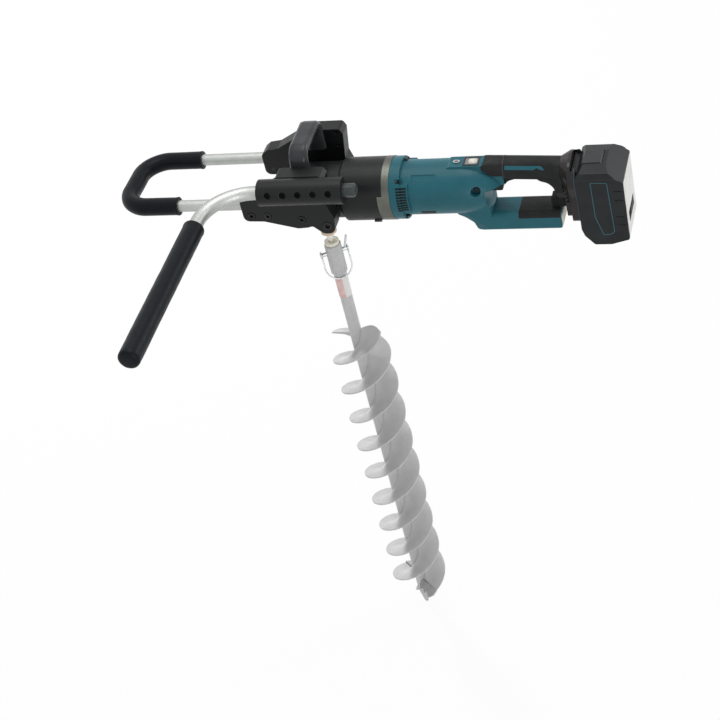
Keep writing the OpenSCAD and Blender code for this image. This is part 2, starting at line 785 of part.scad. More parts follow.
// Panel and button on the flat of the pod
panel_x = body_x + 6.5;
panel_len = 21.8;
panel_w = 19.4;
panel_t = 2;
button_x = panel_x - 9.5;
button_r = 4.3;
button_h = 5;
button_travel = 1;
module panel_space(room) block(
  [panel_x - room, -panel_w / 2 - room, pod_z - panel_t - room],
  [panel_x + panel_len + room, panel_w / 2 + room, pod_z + 1]
);
module display_panel() color(black) placed() difference() {
  intersection() {
    panel_space(0);
    block([0, -panel_w, 0], [700, panel_w, pod_z + 0.6]);
  }
  block(
    [panel_x + 2, 2 - panel_w / 2, pod_z],
    [panel_x + panel_len - 2, panel_w / 2 - 2, pod_z + 1]
  );
}
module button_space(room) translate([button_x, 0, 0]) {
  z_cyl(button_r + room, pod_z - 2, pod_z + 1);
  z_cyl(button_r + 1.5 + room, pod_z - button_h - button_travel - room, pod_z - 2);
}
module direction_button() color(grey) placed() translate([button_x, 0, 0]) {
  z_cyl(button_r, pod_z - 3, pod_z + 0.8);
  z_cyl(button_r + 1.5, pod_z - button_h, pod_z - 2 - pass);
}

// Grip
flare_half = 11;
flare_z = -9;
module flare() along_y(-flare_half, flare_half) polygon(outline([
  [gap_end_x - 26, grip_bottom + 6, 0], [gap_end_x - 20, grip_bottom - 2.6, 14], [gap_end_x - 2, grip_bottom - 8, 18],
  [gap_end_x - 0.5, flare_z, 2], [mount_x, flare_z, 0], [mount_x, grip_bottom + 6, 0]
]));
module grip_cover() color(black) placed() difference() {
  union() {
    intersection() {
      union() {
        intersection() {
          bulb();
          block([0, -barrel_r, 0], [root_end - seat, barrel_r, barrel_r]);
        }
        grip_bar(grip_w, grip_h, grip_round, cover_x - 4, mount_x);
      }
      along_y(-barrel_r, barrel_r) cover_outline(0);
    }
    flare();
  }
  grip_bar(core_w + 2 * seat, core_h + 2 * seat, grip_round - cover_t, cover_x - 10, mount_x + 5);
  strips(seat);
  block([mount_x, -40, -40], [mount_x + 20, 40, 80]);
  block([gap_front - 3, -guard_half - pass, guard_z], [root_end + pass, guard_half + pass, root_z + seat]);
}
module arm_pad() color(black) placed() pad_space(0);

// The trigger slides up into the block over it, where its ears are caught
trigger_drop = 12.5;
ear = 2;
ear_z = guard_z + 3;
module trigger_space(room) {
  block(
    [trigger_x - room, -trigger_w / 2 - room, guard_z - 6],
    [trigger_x + trigger_len + room, trigger_w / 2 + room, ear_z + 1]
  );
  block(
    [trigger_x - room, -trigger_w / 2 - ear - room, ear_z - room],
    [trigger_x + trigger_len + room, trigger_w / 2 + ear + room, ear_z + 3 + trigger_travel + room]
  );
}
module trigger() color(black) placed() {
  along_y(-trigger_w / 2, trigger_w / 2) polygon(outline([
    [trigger_x, ear_z + 1, 0], [trigger_x, guard_z - 5, 3], [trigger_x + 4, guard_z - trigger_drop, 3],
    [trigger_x + trigger_len - 2, guard_z - trigger_drop, 2.5], [trigger_x + trigger_len, guard_z - 2, 1],
    [trigger_x + trigger_len, ear_z + 1, 0]
  ]));
  block(
    [trigger_x, -trigger_w / 2 - ear, ear_z],
    [trigger_x + trigger_len, trigger_w / 2 + ear, ear_z + 3]
  );
}
switch_z = ear_z + 3 + trigger_travel + 1;
module switch_space(room) block(
  [gap_x + 3.5 - room, -core_w / 2 + 2.5 - room, switch_z - room],
  [root_end - 0.5 + room, core_w / 2 - 2.5 + room, grip_top - cover_t - 4 + room]
);
module switch_unit() color(black) placed() switch_space(0);
module controller_space(room) block(
  [arm_x + 30 - room, -arm_w / 2 + 5 - room, arm_bottom + 4 - room],
  [arm_end_x - 20 + room, arm_w / 2 - 5 + room, arm_top - 5 + room]
);
module controller() color(silver) placed() controller_space(0);

// Battery and its mount
module mount_outline() polygon(outline([
  [mount_half, mount_top, 26], [mount_half, 12, 8], [mount_half - 4, -4, 8], [mount_half - 4, mount_bottom, 8],
  [4 - mount_half, mount_bottom, 8], [4 - mount_half, -4, 8], [-mount_half, 12, 8], [-mount_half, mount_top, 26]
]));
flange_t = 11;
foot_x = battery_x - 19;
lug_half = 9;
lug_z = flare_z - 10.3;
module battery_mount() color(black) placed() difference() {
  union() {
    hull() {
      intersection() {
        grip_bar(grip_w, grip_h, grip_round, mount_x - 4, mount_x + 6);
        block([mount_x, -40, -40], [mount_x + 1, 40, 80]);
      }
      intersection() {
        along_x(battery_x - flange_t, battery_x - flange_t + 1) mount_outline();
        block([mount_x, -60, -22], [battery_x, 60, 80]);
      }
    }
    along_x(battery_x - flange_t, battery_x) mount_outline();
    along_x(foot_x, battery_x - flange_t + 1) polygon(outline([
      [20, 4, 0], [-20, 4, 0], [-20, mount_bottom + 2, 8], [20, mount_bottom + 2, 8]
    ]));
    along_y(-lug_half, lug_half) polygon(outline([
      [gap_end_x + 0.5, flare_z - pass, 3], [foot_x + 3, flare_z - pass, 0], [foot_x + 3, lug_z - 2, 0],
      [gap_end_x + 9, lug_z, 3], [gap_end_x + 0.5, lug_z + 1.5, 4]
    ]));
    for (k = [0:3]) block(
      [foot_x + 1, -22.5, -19 + 6 * k],
      [battery_x - flange_t + 1, 22.5, -17 + 6 * k]
    );
  }
  rail_space(pass, mount_top + 5);
  terminal_space(seat);
}
module rail_space(room, top) {
  block(
    [battery_x - rail_depth - room, -rail_half - room, rail_bottom - room],
    [battery_x - lip + room, rail_half + room, top]
  );
  block([battery_x - lip, -stem_half - room, rail_bottom - room], [battery_x + 1, stem_half + room, top]);
}
module terminal_space(room) block(
  [battery_x - rail_depth - 2, -14 - room, rail_bottom + 12 - room],
  [battery_x - rail_depth + 0.5, 14 + room, rail_bottom + 44 + room]
);
module terminal_block() color(black) placed() intersection() {
  terminal_space(0);
  block([0, -20, -200], [battery_x - rail_depth - pass, 20, 200]);
}

module rear_damper() color(black) placed() difference() {
  block([gap_end_x - 8, -9, arm_top], [foot_x, 9, lug_z - pass]);
  for (k = [0:3]) for (side = [-1, 1])
    translate([gap_end_x - 5 + 4.5 * k, side * 9, arm_top]) block([0, -1.2, -1], [2, 1.2, 20]);
  block([gap_end_x + 8, -10, lug_z - 2.3], [foot_x + 1, 10, lug_z + 1]);
}

module battery_outline() polygon(outline([
  [battery_x + pass, battery_top - 9, 2], [battery_x + 9, battery_top, 2],
  [battery_x + battery_depth - 23, battery_top, 3], [battery_x + battery_depth, battery_top - 17, 2],
  [battery_x + battery_depth, battery_bottom + 7, 3], [battery_x + battery_depth - 24, battery_bottom, 6],
  [battery_x + battery_depth - 46, battery_bottom, 4], [battery_x + 3.5, battery_bottom + 14.5, 4],
  [battery_x + pass, battery_bottom + 25, 4]
]));
hood = 1.5;
roof_half = 15;
module battery_section() polygon(outline([
  [battery_w / 2 - hood, battery_bottom - 1, 0], [battery_w / 2 - hood, battery_top - 14, 0.5],
  [battery_w / 2, battery_top - 12.5, 0.5], [battery_w / 2, battery_top - 10, 3],
  [battery_w / 2 - 5, battery_top - 3.2, 2], [roof_half, battery_top + 0.01, 2],
  [-roof_half, battery_top + 0.01, 2], [5 - battery_w / 2, battery_top - 3.2, 2],
  [-battery_w / 2, battery_top - 10, 3], [-battery_w / 2, battery_top - 12.5, 0.5],
  [hood - battery_w / 2, battery_top - 14, 0.5], [hood - battery_w / 2, battery_bottom - 1, 0]
]));
cell_r = 9.1;
cell_len = 62;
module cell_space(room) for (row = [0:1], k = [0:4]) translate([
  battery_x + 20.5 + 20 * row, 0, battery_top - 25 - 18.8 * k
]) rotate([90, 0, 0]) translate([0, 0, -cell_len / 2 - room]) cylinder(r = cell_r + room, h = cell_len + 2 * room);
release_x = battery_x + 6;
release_len = 28;
release_half = 14;
release_travel = 3;
module release_space(room) block(
  [release_x - room, -release_half - room, battery_top - 9 - room],
  [release_x + release_len + room, release_half + room, battery_top + 2]
);
module battery_case() color("#2e3434") placed() difference() {
  union() {
    intersection() {
      along_y(-battery_w / 2, battery_w / 2) battery_outline();
      along_x(battery_x, battery_x + battery_depth) battery_section();
    }
    block(
      [battery_x - lip + pass, pass - stem_half, rail_bottom + pass],
      [battery_x + 4, stem_half - pass, battery_top - 8]
    );
    block(
      [battery_x - rail_depth + pass, pass - rail_half, rail_bottom + pass],
      [battery_x - lip - pass, rail_half - pass, battery_top - 8]
    );
    block(
      [battery_x - lip - pass - 0.01, pass - stem_half, rail_bottom + pass],
      [battery_x - lip + pass + 0.01, stem_half - pass, battery_top - 8]
    );
  }
  cell_space(seat);
  release_space(pass);
}
module battery_cells() color(steel) placed() cell_space(0);
module battery_button() color(black) placed() intersection() {
  release_space(0);
  along_y(-release_half, release_half) polygon(outline([
    [release_x, battery_top - 9 + release_travel, 0], [release_x, battery_top - 1.5, 1.5],
    [release_x + 3, battery_top + 1, 1.5], [release_x + release_len - 3, battery_top + 1, 1.5],
    [release_x + release_len, battery_top - 1.5, 1.5],
    [release_x + release_len, battery_top - 9 + release_travel, 0]
  ]));
}

// Brackets: mirrored plates on both sides of the head
module bracket_outline() polygon(outline([
  [bracket_front, -2, 8], [bracket_front, 31, 8], [bracket_front + 10, 38, 4], [bracket_front + 26, 40, 4],
  [-32, 56, 3], [-28, bracket_top, 4], [34, bracket_top, 5], [38, bracket_top - 8, 3], [33, 22, 6],
  [40, -2, 8], [37, -25, 10], [21, -26, 9], [7, -13, 4], [0, -15, 6], [-14, -16, 8], [-60, -3, 20]
]));
module at_bolt(k) translate([bolts[k].x, 0, bolts[k].y]) rotate([90, 0, 0]) children();
module bracket() difference() {
  along_y(-bracket_out, -bracket_in) bracket_outline();
  translate([0, -arm_y, loop_z]) x_cyl(loop_pipe_d / 2 + seat, bracket_front - 1, bracket_front + socket_len);
  for (k = [0:3]) at_bolt(k) {
    translate([0, 0, bracket_out - bolt_sink]) cylinder(r = bolts[k].z + 0.6, h = 20);
    translate([0, 0, bracket_in - 1]) cylinder(r = bolts[k].z * 0.55 + seat, h = bracket_t);
  }
  at_holder_bolts() translate([0, 0, bracket_in - 1]) cylinder(r = holder_bolt_r + seat, h = bracket_t + 2);
  translate([0, -bracket_out, 36]) block([-30, -1, -14], [24, 1.5, 3]);
}
holder_bolt_x = [-20, 28];
holder_bolt_z = [side_z - 10.5, side_z + 10.5];
holder_bolt_r = 2;
module at_holder_bolts() for (x = holder_bolt_x, z = holder_bolt_z) translate([x, 0, z]) rotate([90, 0, 0]) children();
module bracket_near() color(black) placed() bracket();
module bracket_far() color(black) placed() mirror([0, 1, 0]) bracket();
module bracket_bolts() color(steel) placed() for (side = [0, 1], k = [0:3]) mirror([0, side, 0]) at_bolt(k) {
  from = k > 1 ? bolt_end : bracket_in;
  translate([0, 0, bracket_out - bolt_sink]) difference() {
    cylinder(r = bolts[k].z, h = bolt_sink + 0.5);
    translate([0, 0, 1.5]) cylinder(r = bolts[k].z * 0.55, h = bolt_sink, $fn = 6);
  }
  translate([0, 0, from]) cylinder(r = bolts[k].z * 0.55, h = bracket_out - bolt_sink - from);
}

// Carry bar: a flat oval section bent down at both ends, with its legs on the brackets' inner faces
module bar_section() polygon(outline([
  [bar_t / 2, bar_w / 2, bar_t * 0.45], [-bar_t / 2, bar_w / 2, bar_t * 0.45],
  [-bar_t / 2, -bar_w / 2, bar_t * 0.45], [bar_t / 2, -bar_w / 2, bar_t * 0.45]
]));
module carry_bar() color(black) placed() {
  bend = bar_bend + bar_t / 2;
  half = bracket_in - bar_t / 2 - bend;
  translate([0, half, bar_z]) rotate([90, 0, 0]) linear_extrude(2 * half) rotate(90) bar_section();
  for (side = [0, 1]) mirror([0, side, 0]) {
    translate([0, half, bar_z - bend]) rotate([0, -90, 0])
      rotate_extrude(angle = 90) translate([bend, 0]) bar_section();
    translate([0, half + bend, bar_leg_end]) linear_extrude(bar_z - bend - bar_leg_end) rotate(90) bar_section();
  }
}

// Loop handle
module loop_path(r, inner, foam_only) {
  front = -loop_x;
  corner_y = arm_y - loop_bend_r;
  rear = foam_only ? -loop_foam_x : bracket_front + socket_len - 3;
  for (side = [0, 1]) mirror([0, side, 0]) {
    translate([front + loop_bend_r, -arm_y, loop_z]) rotate([0, 90, 0])
      pipe_run(r, rear - front - loop_bend_r, inner);
    translate([front + loop_bend_r, -corner_y, loop_z]) rotate([0, 0, 180]) pipe_bend(r, loop_bend_r, inner);
  }
  translate([front, corner_y, loop_z]) rotate([90, 0, 0]) pipe_run(r, 2 * corner_y, inner);
}
module loop_pipe() color(bright) placed() loop_path(loop_pipe_d / 2, loop_pipe_d / 2 - pipe_wall, false);
module loop_grip() color(foam) placed() loop_path(loop_foam_d / 2, loop_pipe_d / 2 + seat, true);

// Side handle in its holder on the near bracket
screw_count = 5;
screw_step = 21;
screw_tilt = 20;
module holder_section() difference() {
  circle(holder_r);
  circle(side_pipe_d / 2 + fit);
}
module at_holder() translate([0, side_y, side_z]) children();
module handle_holder() color(black) placed() difference() {
  intersection() {
    at_holder() along_x(holder_x, holder_end) holder_section();
    block([holder_x - 1, -200, 0], [holder_end + 1, -bracket_out, 200]);
  }
  for (k = [0:screw_count - 1]) at_screw(k) {
    translate([0, 0, side_pipe_d / 2 - 1]) cylinder(r = 2.6 + seat, h = holder_r);
    translate([0, 0, holder_r - 4]) cylinder(r = 4.6, h = holder_r);
  }
  at_holder_bolts() cylinder(r = holder_bolt_r + seat, h = bracket_out + 5);
}
module at_screw(k) at_holder()
  translate([(holder_x + holder_end) / 2 + screw_step * (k - (screw_count - 1) / 2), 0, 0])
    rotate([90 - screw_tilt, 0, 0]) children();
module holder_screws() color(steel) placed() {
  for (k = [0:screw_count - 1]) at_screw(k) {
    translate([0, 0, side_pipe_d / 2 + pass]) cylinder(r = 2.6, h = holder_r - 4 - side_pipe_d / 2 - pass);
    translate([0, 0, holder_r - 4]) difference() {
      cylinder(r = 4.2, h = 2.5);
      translate([0, 0, 1]) cylinder(r = 2.2, h = 3, $fn = 6);
    }
  }
  at_holder_bolts() {
    translate([0, 0, bracket_in - 3]) cylinder(r = 3.5, h = 3);
    translate([0, 0, bracket_in]) cylinder(r = holder_bolt_r, h = bracket_t + 4.5);
  }
}
side_end = holder_end + plug_out;
pipe_end = holder_end - 1;
plug_r = side_pipe_d / 2 - 0.25;
module side_path(r, inner) {
  translate([side_bend_x, side_y, side_z]) rotate([0, 90, 0]) pipe_run(r, pipe_end - side_bend_x, inner);
  translate([side_bend_x, side_y - side_bend_r, side_z]) rotate([0, 0, 90]) pipe_bend(r, side_bend_r, inner);
  translate([side_x, side_y - side_bend_r, side_z]) rotate([90, 0, 0])
    pipe_run(r, side_y - side_bend_r - side_foam_y + side_foam_len - 8, inner);
}
module side_pipe() color(bright) placed() side_path(side_pipe_d / 2, side_pipe_d / 2 - pipe_wall);
module side_grip() color(foam) placed() translate([side_x, side_foam_y, side_z]) rotate([90, 0, 0]) rotate_extrude()
  polygon(concat(
    [[side_pipe_d / 2 + seat, 0]],
    outline_tail(),
    [[0, side_foam_len], [0, side_foam_len - 8 + seat], [side_pipe_d / 2 + seat, side_foam_len - 8 + seat]]
  ));
function outline_tail() = [
  for (a = [0:15:90]) [side_foam_d / 2 - 2 + 2 * sin(a), 2 - 2 * cos(a)],
  for (a = [0:15:90]) [side_foam_d / 2 - 9 + 9 * cos(a), side_foam_len - 9 + 9 * sin(a)]
];
module side_plug() color(black) placed() at_holder() {
  turned_x([[0, pipe_end], [plug_r, pipe_end], [plug_r, side_end - 3], [plug_r - 2, side_end], [0, side_end]]);
  x_cyl(side_pipe_d / 2 - pipe_wall - seat, pipe_end - 14, pipe_end + 1);
}

// Adapter, coupler, cross pin and wire clip, all turning with the spindle
module drive_adapter() color(pale) placed() difference() {
  z_cyl(adapter_r, coupler_top_z - socket_depth + 4, adapter_z);
  z_cyl(neck_r + seat, neck_end_z - seat, adapter_z + 1);
  at_pin() pin_bar(cross_pin_r + seat);
}
module at_pin() translate([0, 0, pin_z]) rotate([0, 0, pin_azimuth]) children();
module pin_bar(r) x_cyl(r, -pin_half, pin_half);
module coupler() color(grey) placed() difference() {
  rotate_extrude() polygon([
    [auger_shaft_r + seat, coupler_end_z], [coupler_r - 2.5, coupler_end_z], [coupler_r, coupler_end_z + 5],
    [coupler_r, coupler_top_z - 1.5], [coupler_r - 1, coupler_top_z], [adapter_r + seat, coupler_top_z],
    [adapter_r + seat, coupler_top_z - socket_depth], [auger_shaft_r + seat, coupler_top_z - socket_depth]
  ]);
  at_pin() pin_bar(cross_pin_r + seat);
}
module cross_pin() color(steel) placed() at_pin() {
  pin_bar(cross_pin_r);
  translate([coupler_r + 2, 0, 0]) rotate([0, 17, 0]) block([0, -2, 1], [2.2, 2, 22]);
}
clip_r = clip_wire_d / 2;
clip_eye_x = pin_half - 0.6 - clip_wire_d / 2;
clip_leg = 21;
clip_tilt = 70;
clip_eye_r = cross_pin_r + pass + clip_r;
module wire_clip() color(steel) placed() at_pin() rotate([180 + clip_tilt, 0, 0]) {
  for (side = [-1, 1]) {
    translate([side * clip_eye_x, 0, 0]) rotate([0, 90, 0]) rotate_extrude() translate([clip_eye_r, 0]) circle(clip_r, $fn = 16);
    translate([side * clip_eye_x, clip_eye_r, 0]) rotate([-90, 0, 0]) cylinder(r = clip_r, h = clip_leg - clip_eye_r, $fn = 16);
  }
  translate([0, clip_leg, 0]) rotate_extrude(angle = 180) translate([clip_eye_x, 0]) circle(clip_r, $fn = 16);
}

// Auger bit
module auger_shaft() color(grey) placed() z_cyl(auger_shaft_r, shaft_end_z, coupler_top_z - socket_depth);
band_top = coupler_end_z - 2;
module shaft_band() color("#e8e4e2") placed() difference() {
  z_cyl(auger_shaft_r + 0.5, band_top - 36, band_top);
  z_cyl(auger_shaft_r + seat, band_top - 40, band_top + 4);
}
// Two flights, half a turn apart: each step of the helicoid has an inner and an outer edge, above and below
flight_count = floor(flight_turns * flight_steps);
function flight_ring(i, start) =
  let (
    turned = i / flight_steps,
    z = flight_end_z + flight_pitch * turned,
    a = start + 360 * turned,
    rim = flight_t * 0.55
  )
  [
    [flight_in * cos(a), flight_in * sin(a), z], [flight_r * cos(a), flight_r * sin(a), z],
    [flight_r * cos(a), flight_r * sin(a), z + rim], [flight_in * cos(a), flight_in * sin(a), z + flight_t]
  ];
module flight(start) polyhedron(
  points = [for (i = [0:flight_count]) each flight_ring(i, start)],
  faces = concat(
    [[0, 1, 2], [0, 2, 3]],
    [
      for (i = [0:flight_count - 1], k = [0:3])
        let (a = 4 * i + k, b = 4 * i + (k + 1) % 4)
        each [[a, a + 4, b + 4], [a, b + 4, b]]
    ],
    [let (e = 4 * flight_count) each [[e, e + 2, e + 1], [e, e + 3, e + 2]]]
  )
);
module flight_a() color(grey) placed() flight(flight_azimuth);
module flight_b() color(grey) placed() flight(flight_azimuth + 180);

// A toothed blade butts against the lower end of each flight and points the way that the auger turns
blade_in = auger_shaft_r + 0.3;
blade_out = flight_r + 1;
blade_drop = 32;
module blade() translate([0, -0.2, flight_end_z]) rotate([blade_drop, 0, 0]) translate([blade_in, 0, 0])
  linear_extrude(flight_t) polygon([
    for (p = [
      [0, 0], [0, -9], [0.2, -15], [0.3, -10], [0.5, -16], [0.6, -10], [0.85, -17], [1, -9], [1, 0]
    ]) [p.x * (blade_out - blade_in), p.y]
  ]);
module cutter_blades() color(grey) placed() for (half = [0, 180]) rotate([0, 0, flight_azimuth + half]) blade();
module pilot_point() color(grey) placed() {
  translate([0, 0, shaft_end_z - 14]) cylinder(r1 = 5, r2 = auger_shaft_r, h = 14);
  rotate([0, 0, 20]) along_y(-2.5, 2.5) translate([0, shaft_end_z]) polygon([
    [-9, -6], [-13, -12], [-8, -14], [-3, -pilot_len + 4], [0, -pilot_len], [3, -pilot_len + 3],
    [1.5, -pilot_len + 8], [8, -16], [13, -11], [9, -6]
  ]);
}

gear_case();
head_cap();
case_screws();
dust_ring();
spindle();
spindle_top_bearing();
spindle_lower_bearing();
bevel_gear();
bevel_pinion();
pinion_bearing();
planet_carrier();
planet_gear_a();
planet_gear_b();
planet_gear_c();
ring_gear();
sun_gear();
motor_shaft();
rotor_core();
stator();
fan();
motor_front_bearing();
motor_rear_bearing();
gearbox_collar();
housing_near();
housing_far();
housing_screws();
display_panel();
direction_button();
grip_cover();
arm_pad();
trigger();
switch_unit();
controller();
rear_damper();
battery_mount();
terminal_block();
battery_case();
battery_cells();
battery_button();
bracket_near();
bracket_far();
bracket_bolts();
carry_bar();
loop_pipe();
loop_grip();
handle_holder();
holder_screws();
side_pipe();
side_grip();
side_plug();
drive_adapter();
coupler();
cross_pin();
wire_clip();
auger_shaft();
shaft_band();
flight_a();
flight_b();
cutter_blades();
pilot_point();
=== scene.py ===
import json
from math import pi, radians, sin

import bmesh
import bpy
from mathutils import Matrix, Vector, noise


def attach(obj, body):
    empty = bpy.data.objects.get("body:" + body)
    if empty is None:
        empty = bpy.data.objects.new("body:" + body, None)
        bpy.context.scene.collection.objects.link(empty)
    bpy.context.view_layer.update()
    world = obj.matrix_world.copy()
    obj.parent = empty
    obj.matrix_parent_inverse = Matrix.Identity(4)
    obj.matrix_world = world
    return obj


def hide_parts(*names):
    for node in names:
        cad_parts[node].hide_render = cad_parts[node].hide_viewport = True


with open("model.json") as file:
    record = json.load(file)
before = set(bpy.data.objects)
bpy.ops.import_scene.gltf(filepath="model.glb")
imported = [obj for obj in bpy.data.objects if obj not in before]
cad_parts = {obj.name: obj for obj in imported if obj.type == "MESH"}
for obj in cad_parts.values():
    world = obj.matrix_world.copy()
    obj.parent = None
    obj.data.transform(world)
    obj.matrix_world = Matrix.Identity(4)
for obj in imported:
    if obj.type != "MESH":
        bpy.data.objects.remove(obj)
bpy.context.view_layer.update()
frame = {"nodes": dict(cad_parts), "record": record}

MM = 0.001
# The motor's axis lies this far below the origin, which is the middle of the carry bar
AXIS_Z = -86.5
# Faces that trim sits on: the panel's top above the motor's axis, the ends of arm and battery along
# it, and the battery's sides across it
PANEL_TOP = 38
ARM_END = 335
BATTERY_REAR = 424
BATTERY_SIDE = 36.5
# The rise of a flight in one turn, and its outer radius
FLIGHT_PITCH = 117
FLIGHT_RADIUS = 43.5
# The side of the shaft that the band's stripe faces
BAND_STRIPE = (-0.85, -0.52, 0.0)
# The floor lies just under the pilot point
FLOOR_Z = -932.5


def at(x, y, z):
    """A place in metres from millimetres along the motor's axis, across it, and above it."""
    return Vector((x, y, z + AXIS_Z)) * MM


# Finishes


def linear(code):
    """An sRGB hex colour as linear red, green, blue and alpha."""
    channels = [int(code[i:i + 2], 16) / 255 for i in (1, 3, 5)]
    return [c / 12.92 if c <= 0.04045 else ((c + 0.055) / 1.055) ** 2.4 for c in channels] + [1.0]


def per_metre(size_mm):
    """The scale of a pattern whose marks have this size."""
    return 1000 / size_mm


def add(tree, kind, sockets, **settings):
    """Adds a node with its settings, and sets or links its sockets."""
    made = tree.nodes.new("ShaderNode" + kind)
    for name, value in settings.items():
        setattr(made, name, value)
    for socket, value in sockets.items():
        if isinstance(value, bpy.types.NodeSocket):
            tree.links.new(value, made.inputs[socket])
        else:
            made.inputs[socket].default_value = value
    return made


def finish(name, shade, roughness, metallic=0.0, **sockets):
    """A new material with its plain values, ready for its patterns."""
    material = bpy.data.materials.new(name)
    material.use_nodes = True
    tree = material.node_tree
    shader = tree.nodes["Principled BSDF"]
    shader.inputs["Base Color"].default_value = linear(shade)
    shader.inputs["Roughness"].default_value = roughness
    shader.inputs["Metallic"].default_value = metallic
    for socket, value in sockets.items():
        shader.inputs[socket.replace("_", " ")].default_value = value
    place = add(tree, "TexCoord", {}).outputs["Object"]
    return material, tree, shader, place


def moulded_nylon(name, shade, rubbed, roughness):
    """Glass-filled nylon from a spark-eroded mould. The fine even grain spreads the gloss, the
    colour clouds a little where the fibres flowed, and edges are paler, partly as handling wear and
    partly as a painted highlight along them. The grain is drawn at 1 mm, coarser than real, to
    show."""
    material, tree, shader, place = finish(name, shade, roughness, IOR=1.5, Specular_IOR_Level=0.22)
    cloud = add(tree, "TexNoise", {"Vector": place, "Scale": per_metre(24), "Detail": 3.0})
    grain = add(tree, "TexNoise", {"Vector": place, "Scale": per_metre(1.0), "Detail": 2.0})
    rounded = add(tree, "Bevel", {"Radius": 0.7 * MM}, samples=6)
    flat = add(tree, "NewGeometry", {})
    bend = add(tree, "VectorMath", {0: rounded.outputs["Normal"], 1: flat.outputs["Normal"]},
               operation="DOT_PRODUCT")
    # Paler edges: handling wear, and a painted highlight along them
    edge = add(tree, "MapRange", {"Value": bend.outputs["Value"], "From Min": 0.72,
                                  "From Max": 0.99, "To Min": 0.55, "To Max": 0.0})
    tint = add(tree, "MapRange", {"Value": cloud.outputs["Fac"], "From Min": 0.3, "From Max": 0.7,
                                  "To Max": 0.22})
    worn_and_highlit = add(tree, "Math", {0: edge.outputs["Result"], 1: tint.outputs["Result"]},
               operation="MAXIMUM")
    colour = add(tree, "Mix", {0: worn_and_highlit.outputs[0], 6: linear(shade), 7: linear(rubbed)},
                 data_type="RGBA")
    tree.links.new(colour.outputs[2], shader.inputs["Base Color"])
    gloss = add(tree, "MapRange", {"Value": cloud.outputs["Fac"], "From Min": 0.3, "From Max": 0.7,
                                   "To Min": roughness - 0.06, "To Max": roughness + 0.06})
    tree.links.new(gloss.outputs["Result"], shader.inputs["Roughness"])
    bump = add(tree, "Bump", {"Strength": 0.35, "Distance": 0.1 * MM,
                              "Height": grain.outputs["Fac"], "Normal": rounded.outputs["Normal"]})
    tree.links.new(bump.outputs["Normal"], shader.inputs["Normal"])
    return material


def overmoulded_rubber(name, shade, rubbed):
    """Thermoplastic elastomer moulded over the hard core: matt, with a soft sheen at grazing light
    and a stipple of small round pits, drawn at 1.6 mm to show, and shiny where hands rub it."""
    material, tree, shader, place = finish(name, shade, 0.62, IOR=1.48, Specular_IOR_Level=0.2,
                                           Sheen_Weight=0.04, Sheen_Roughness=0.4)
    cloud = add(tree, "TexNoise", {"Vector": place, "Scale": per_metre(18), "Detail": 4.0})
    pits = add(tree, "TexVoronoi", {"Vector": place, "Scale": per_metre(1.6), "Randomness": 0.8})
    rounded = add(tree, "Bevel", {"Radius": 1.2 * MM}, samples=6)
    colour = add(tree, "Mix", {0: cloud.outputs["Fac"], 6: linear(shade), 7: linear(rubbed)},
                 data_type="RGBA")
    tree.links.new(colour.outputs[2], shader.inputs["Base Color"])
    gloss = add(tree, "MapRange", {"Value": cloud.outputs["Fac"], "From Min": 0.35,
                                   "From Max": 0.7, "To Min": 0.68, "To Max": 0.5})
    tree.links.new(gloss.outputs["Result"], shader.inputs["Roughness"])
    bump = add(tree, "Bump", {"Strength": 0.4, "Distance": 0.15 * MM,
                              "Height": pits.outputs["Distance"],
                              "Normal": rounded.outputs["Normal"]})
    tree.links.new(bump.outputs["Normal"], shader.inputs["Normal"])
    return material


def painted_casting(name, shade, bare, roughness):
    """Die-cast aluminium under stoved black paint: an orange-peel surface a couple of millimetres
    across, and the grey metal just showing through on the sharpest edges, which also serves as a
    painted highlight along them."""
    material, tree, shader, place = finish(name, shade, roughness, IOR=1.5, Specular_IOR_Level=0.22)
    peel = add(tree, "TexNoise", {"Vector": place, "Scale": per_metre(2.2), "Detail": 2.0,
                                  "Roughness": 0.4})
    chips = add(tree, "TexNoise", {"Vector": place, "Scale": per_metre(5), "Detail": 6.0,
                                   "Roughness": 0.7})
    rounded = add(tree, "Bevel", {"Radius": 0.9 * MM}, samples=6)
    flat = add(tree, "NewGeometry", {})
    bend = add(tree, "VectorMath", {0: rounded.outputs["Normal"], 1: flat.outputs["Normal"]},
               operation="DOT_PRODUCT")
    # Grey on the sharpest edges: chipped paint, and a painted highlight along them
    edge = add(tree, "MapRange", {"Value": bend.outputs["Value"], "From Min": 0.7,
                                  "From Max": 0.97, "To Min": 1.0, "To Max": 0.0})
    patch = add(tree, "MapRange", {"Value": chips.outputs["Fac"], "From Min": 0.42,
                                   "From Max": 0.62, "To Max": 0.6})
    worn_and_highlit = add(tree, "Math", {0: edge.outputs["Result"], 1: patch.outputs["Result"]},
               operation="MULTIPLY")
    colour = add(tree, "Mix", {0: worn_and_highlit.outputs[0], 6: linear(shade), 7: linear(bare)},
                 data_type="RGBA")
    tree.links.new(colour.outputs[2], shader.inputs["Base Color"])
    gloss = add(tree, "MapRange", {"Value": chips.outputs["Fac"], "From Min": 0.3, "From Max": 0.7,
                                   "To Min": roughness - 0.07, "To Max": roughness + 0.07})
    tree.links.new(gloss.outputs["Result"], shader.inputs["Roughness"])
    bump = add(tree, "Bump", {"Strength": 0.25, "Distance": 0.2 * MM, "Height": peel.outputs["Fac"],
                              "Normal": rounded.outputs["Normal"]})
    tree.links.new(bump.outputs["Normal"], shader.inputs["Normal"])
    return material


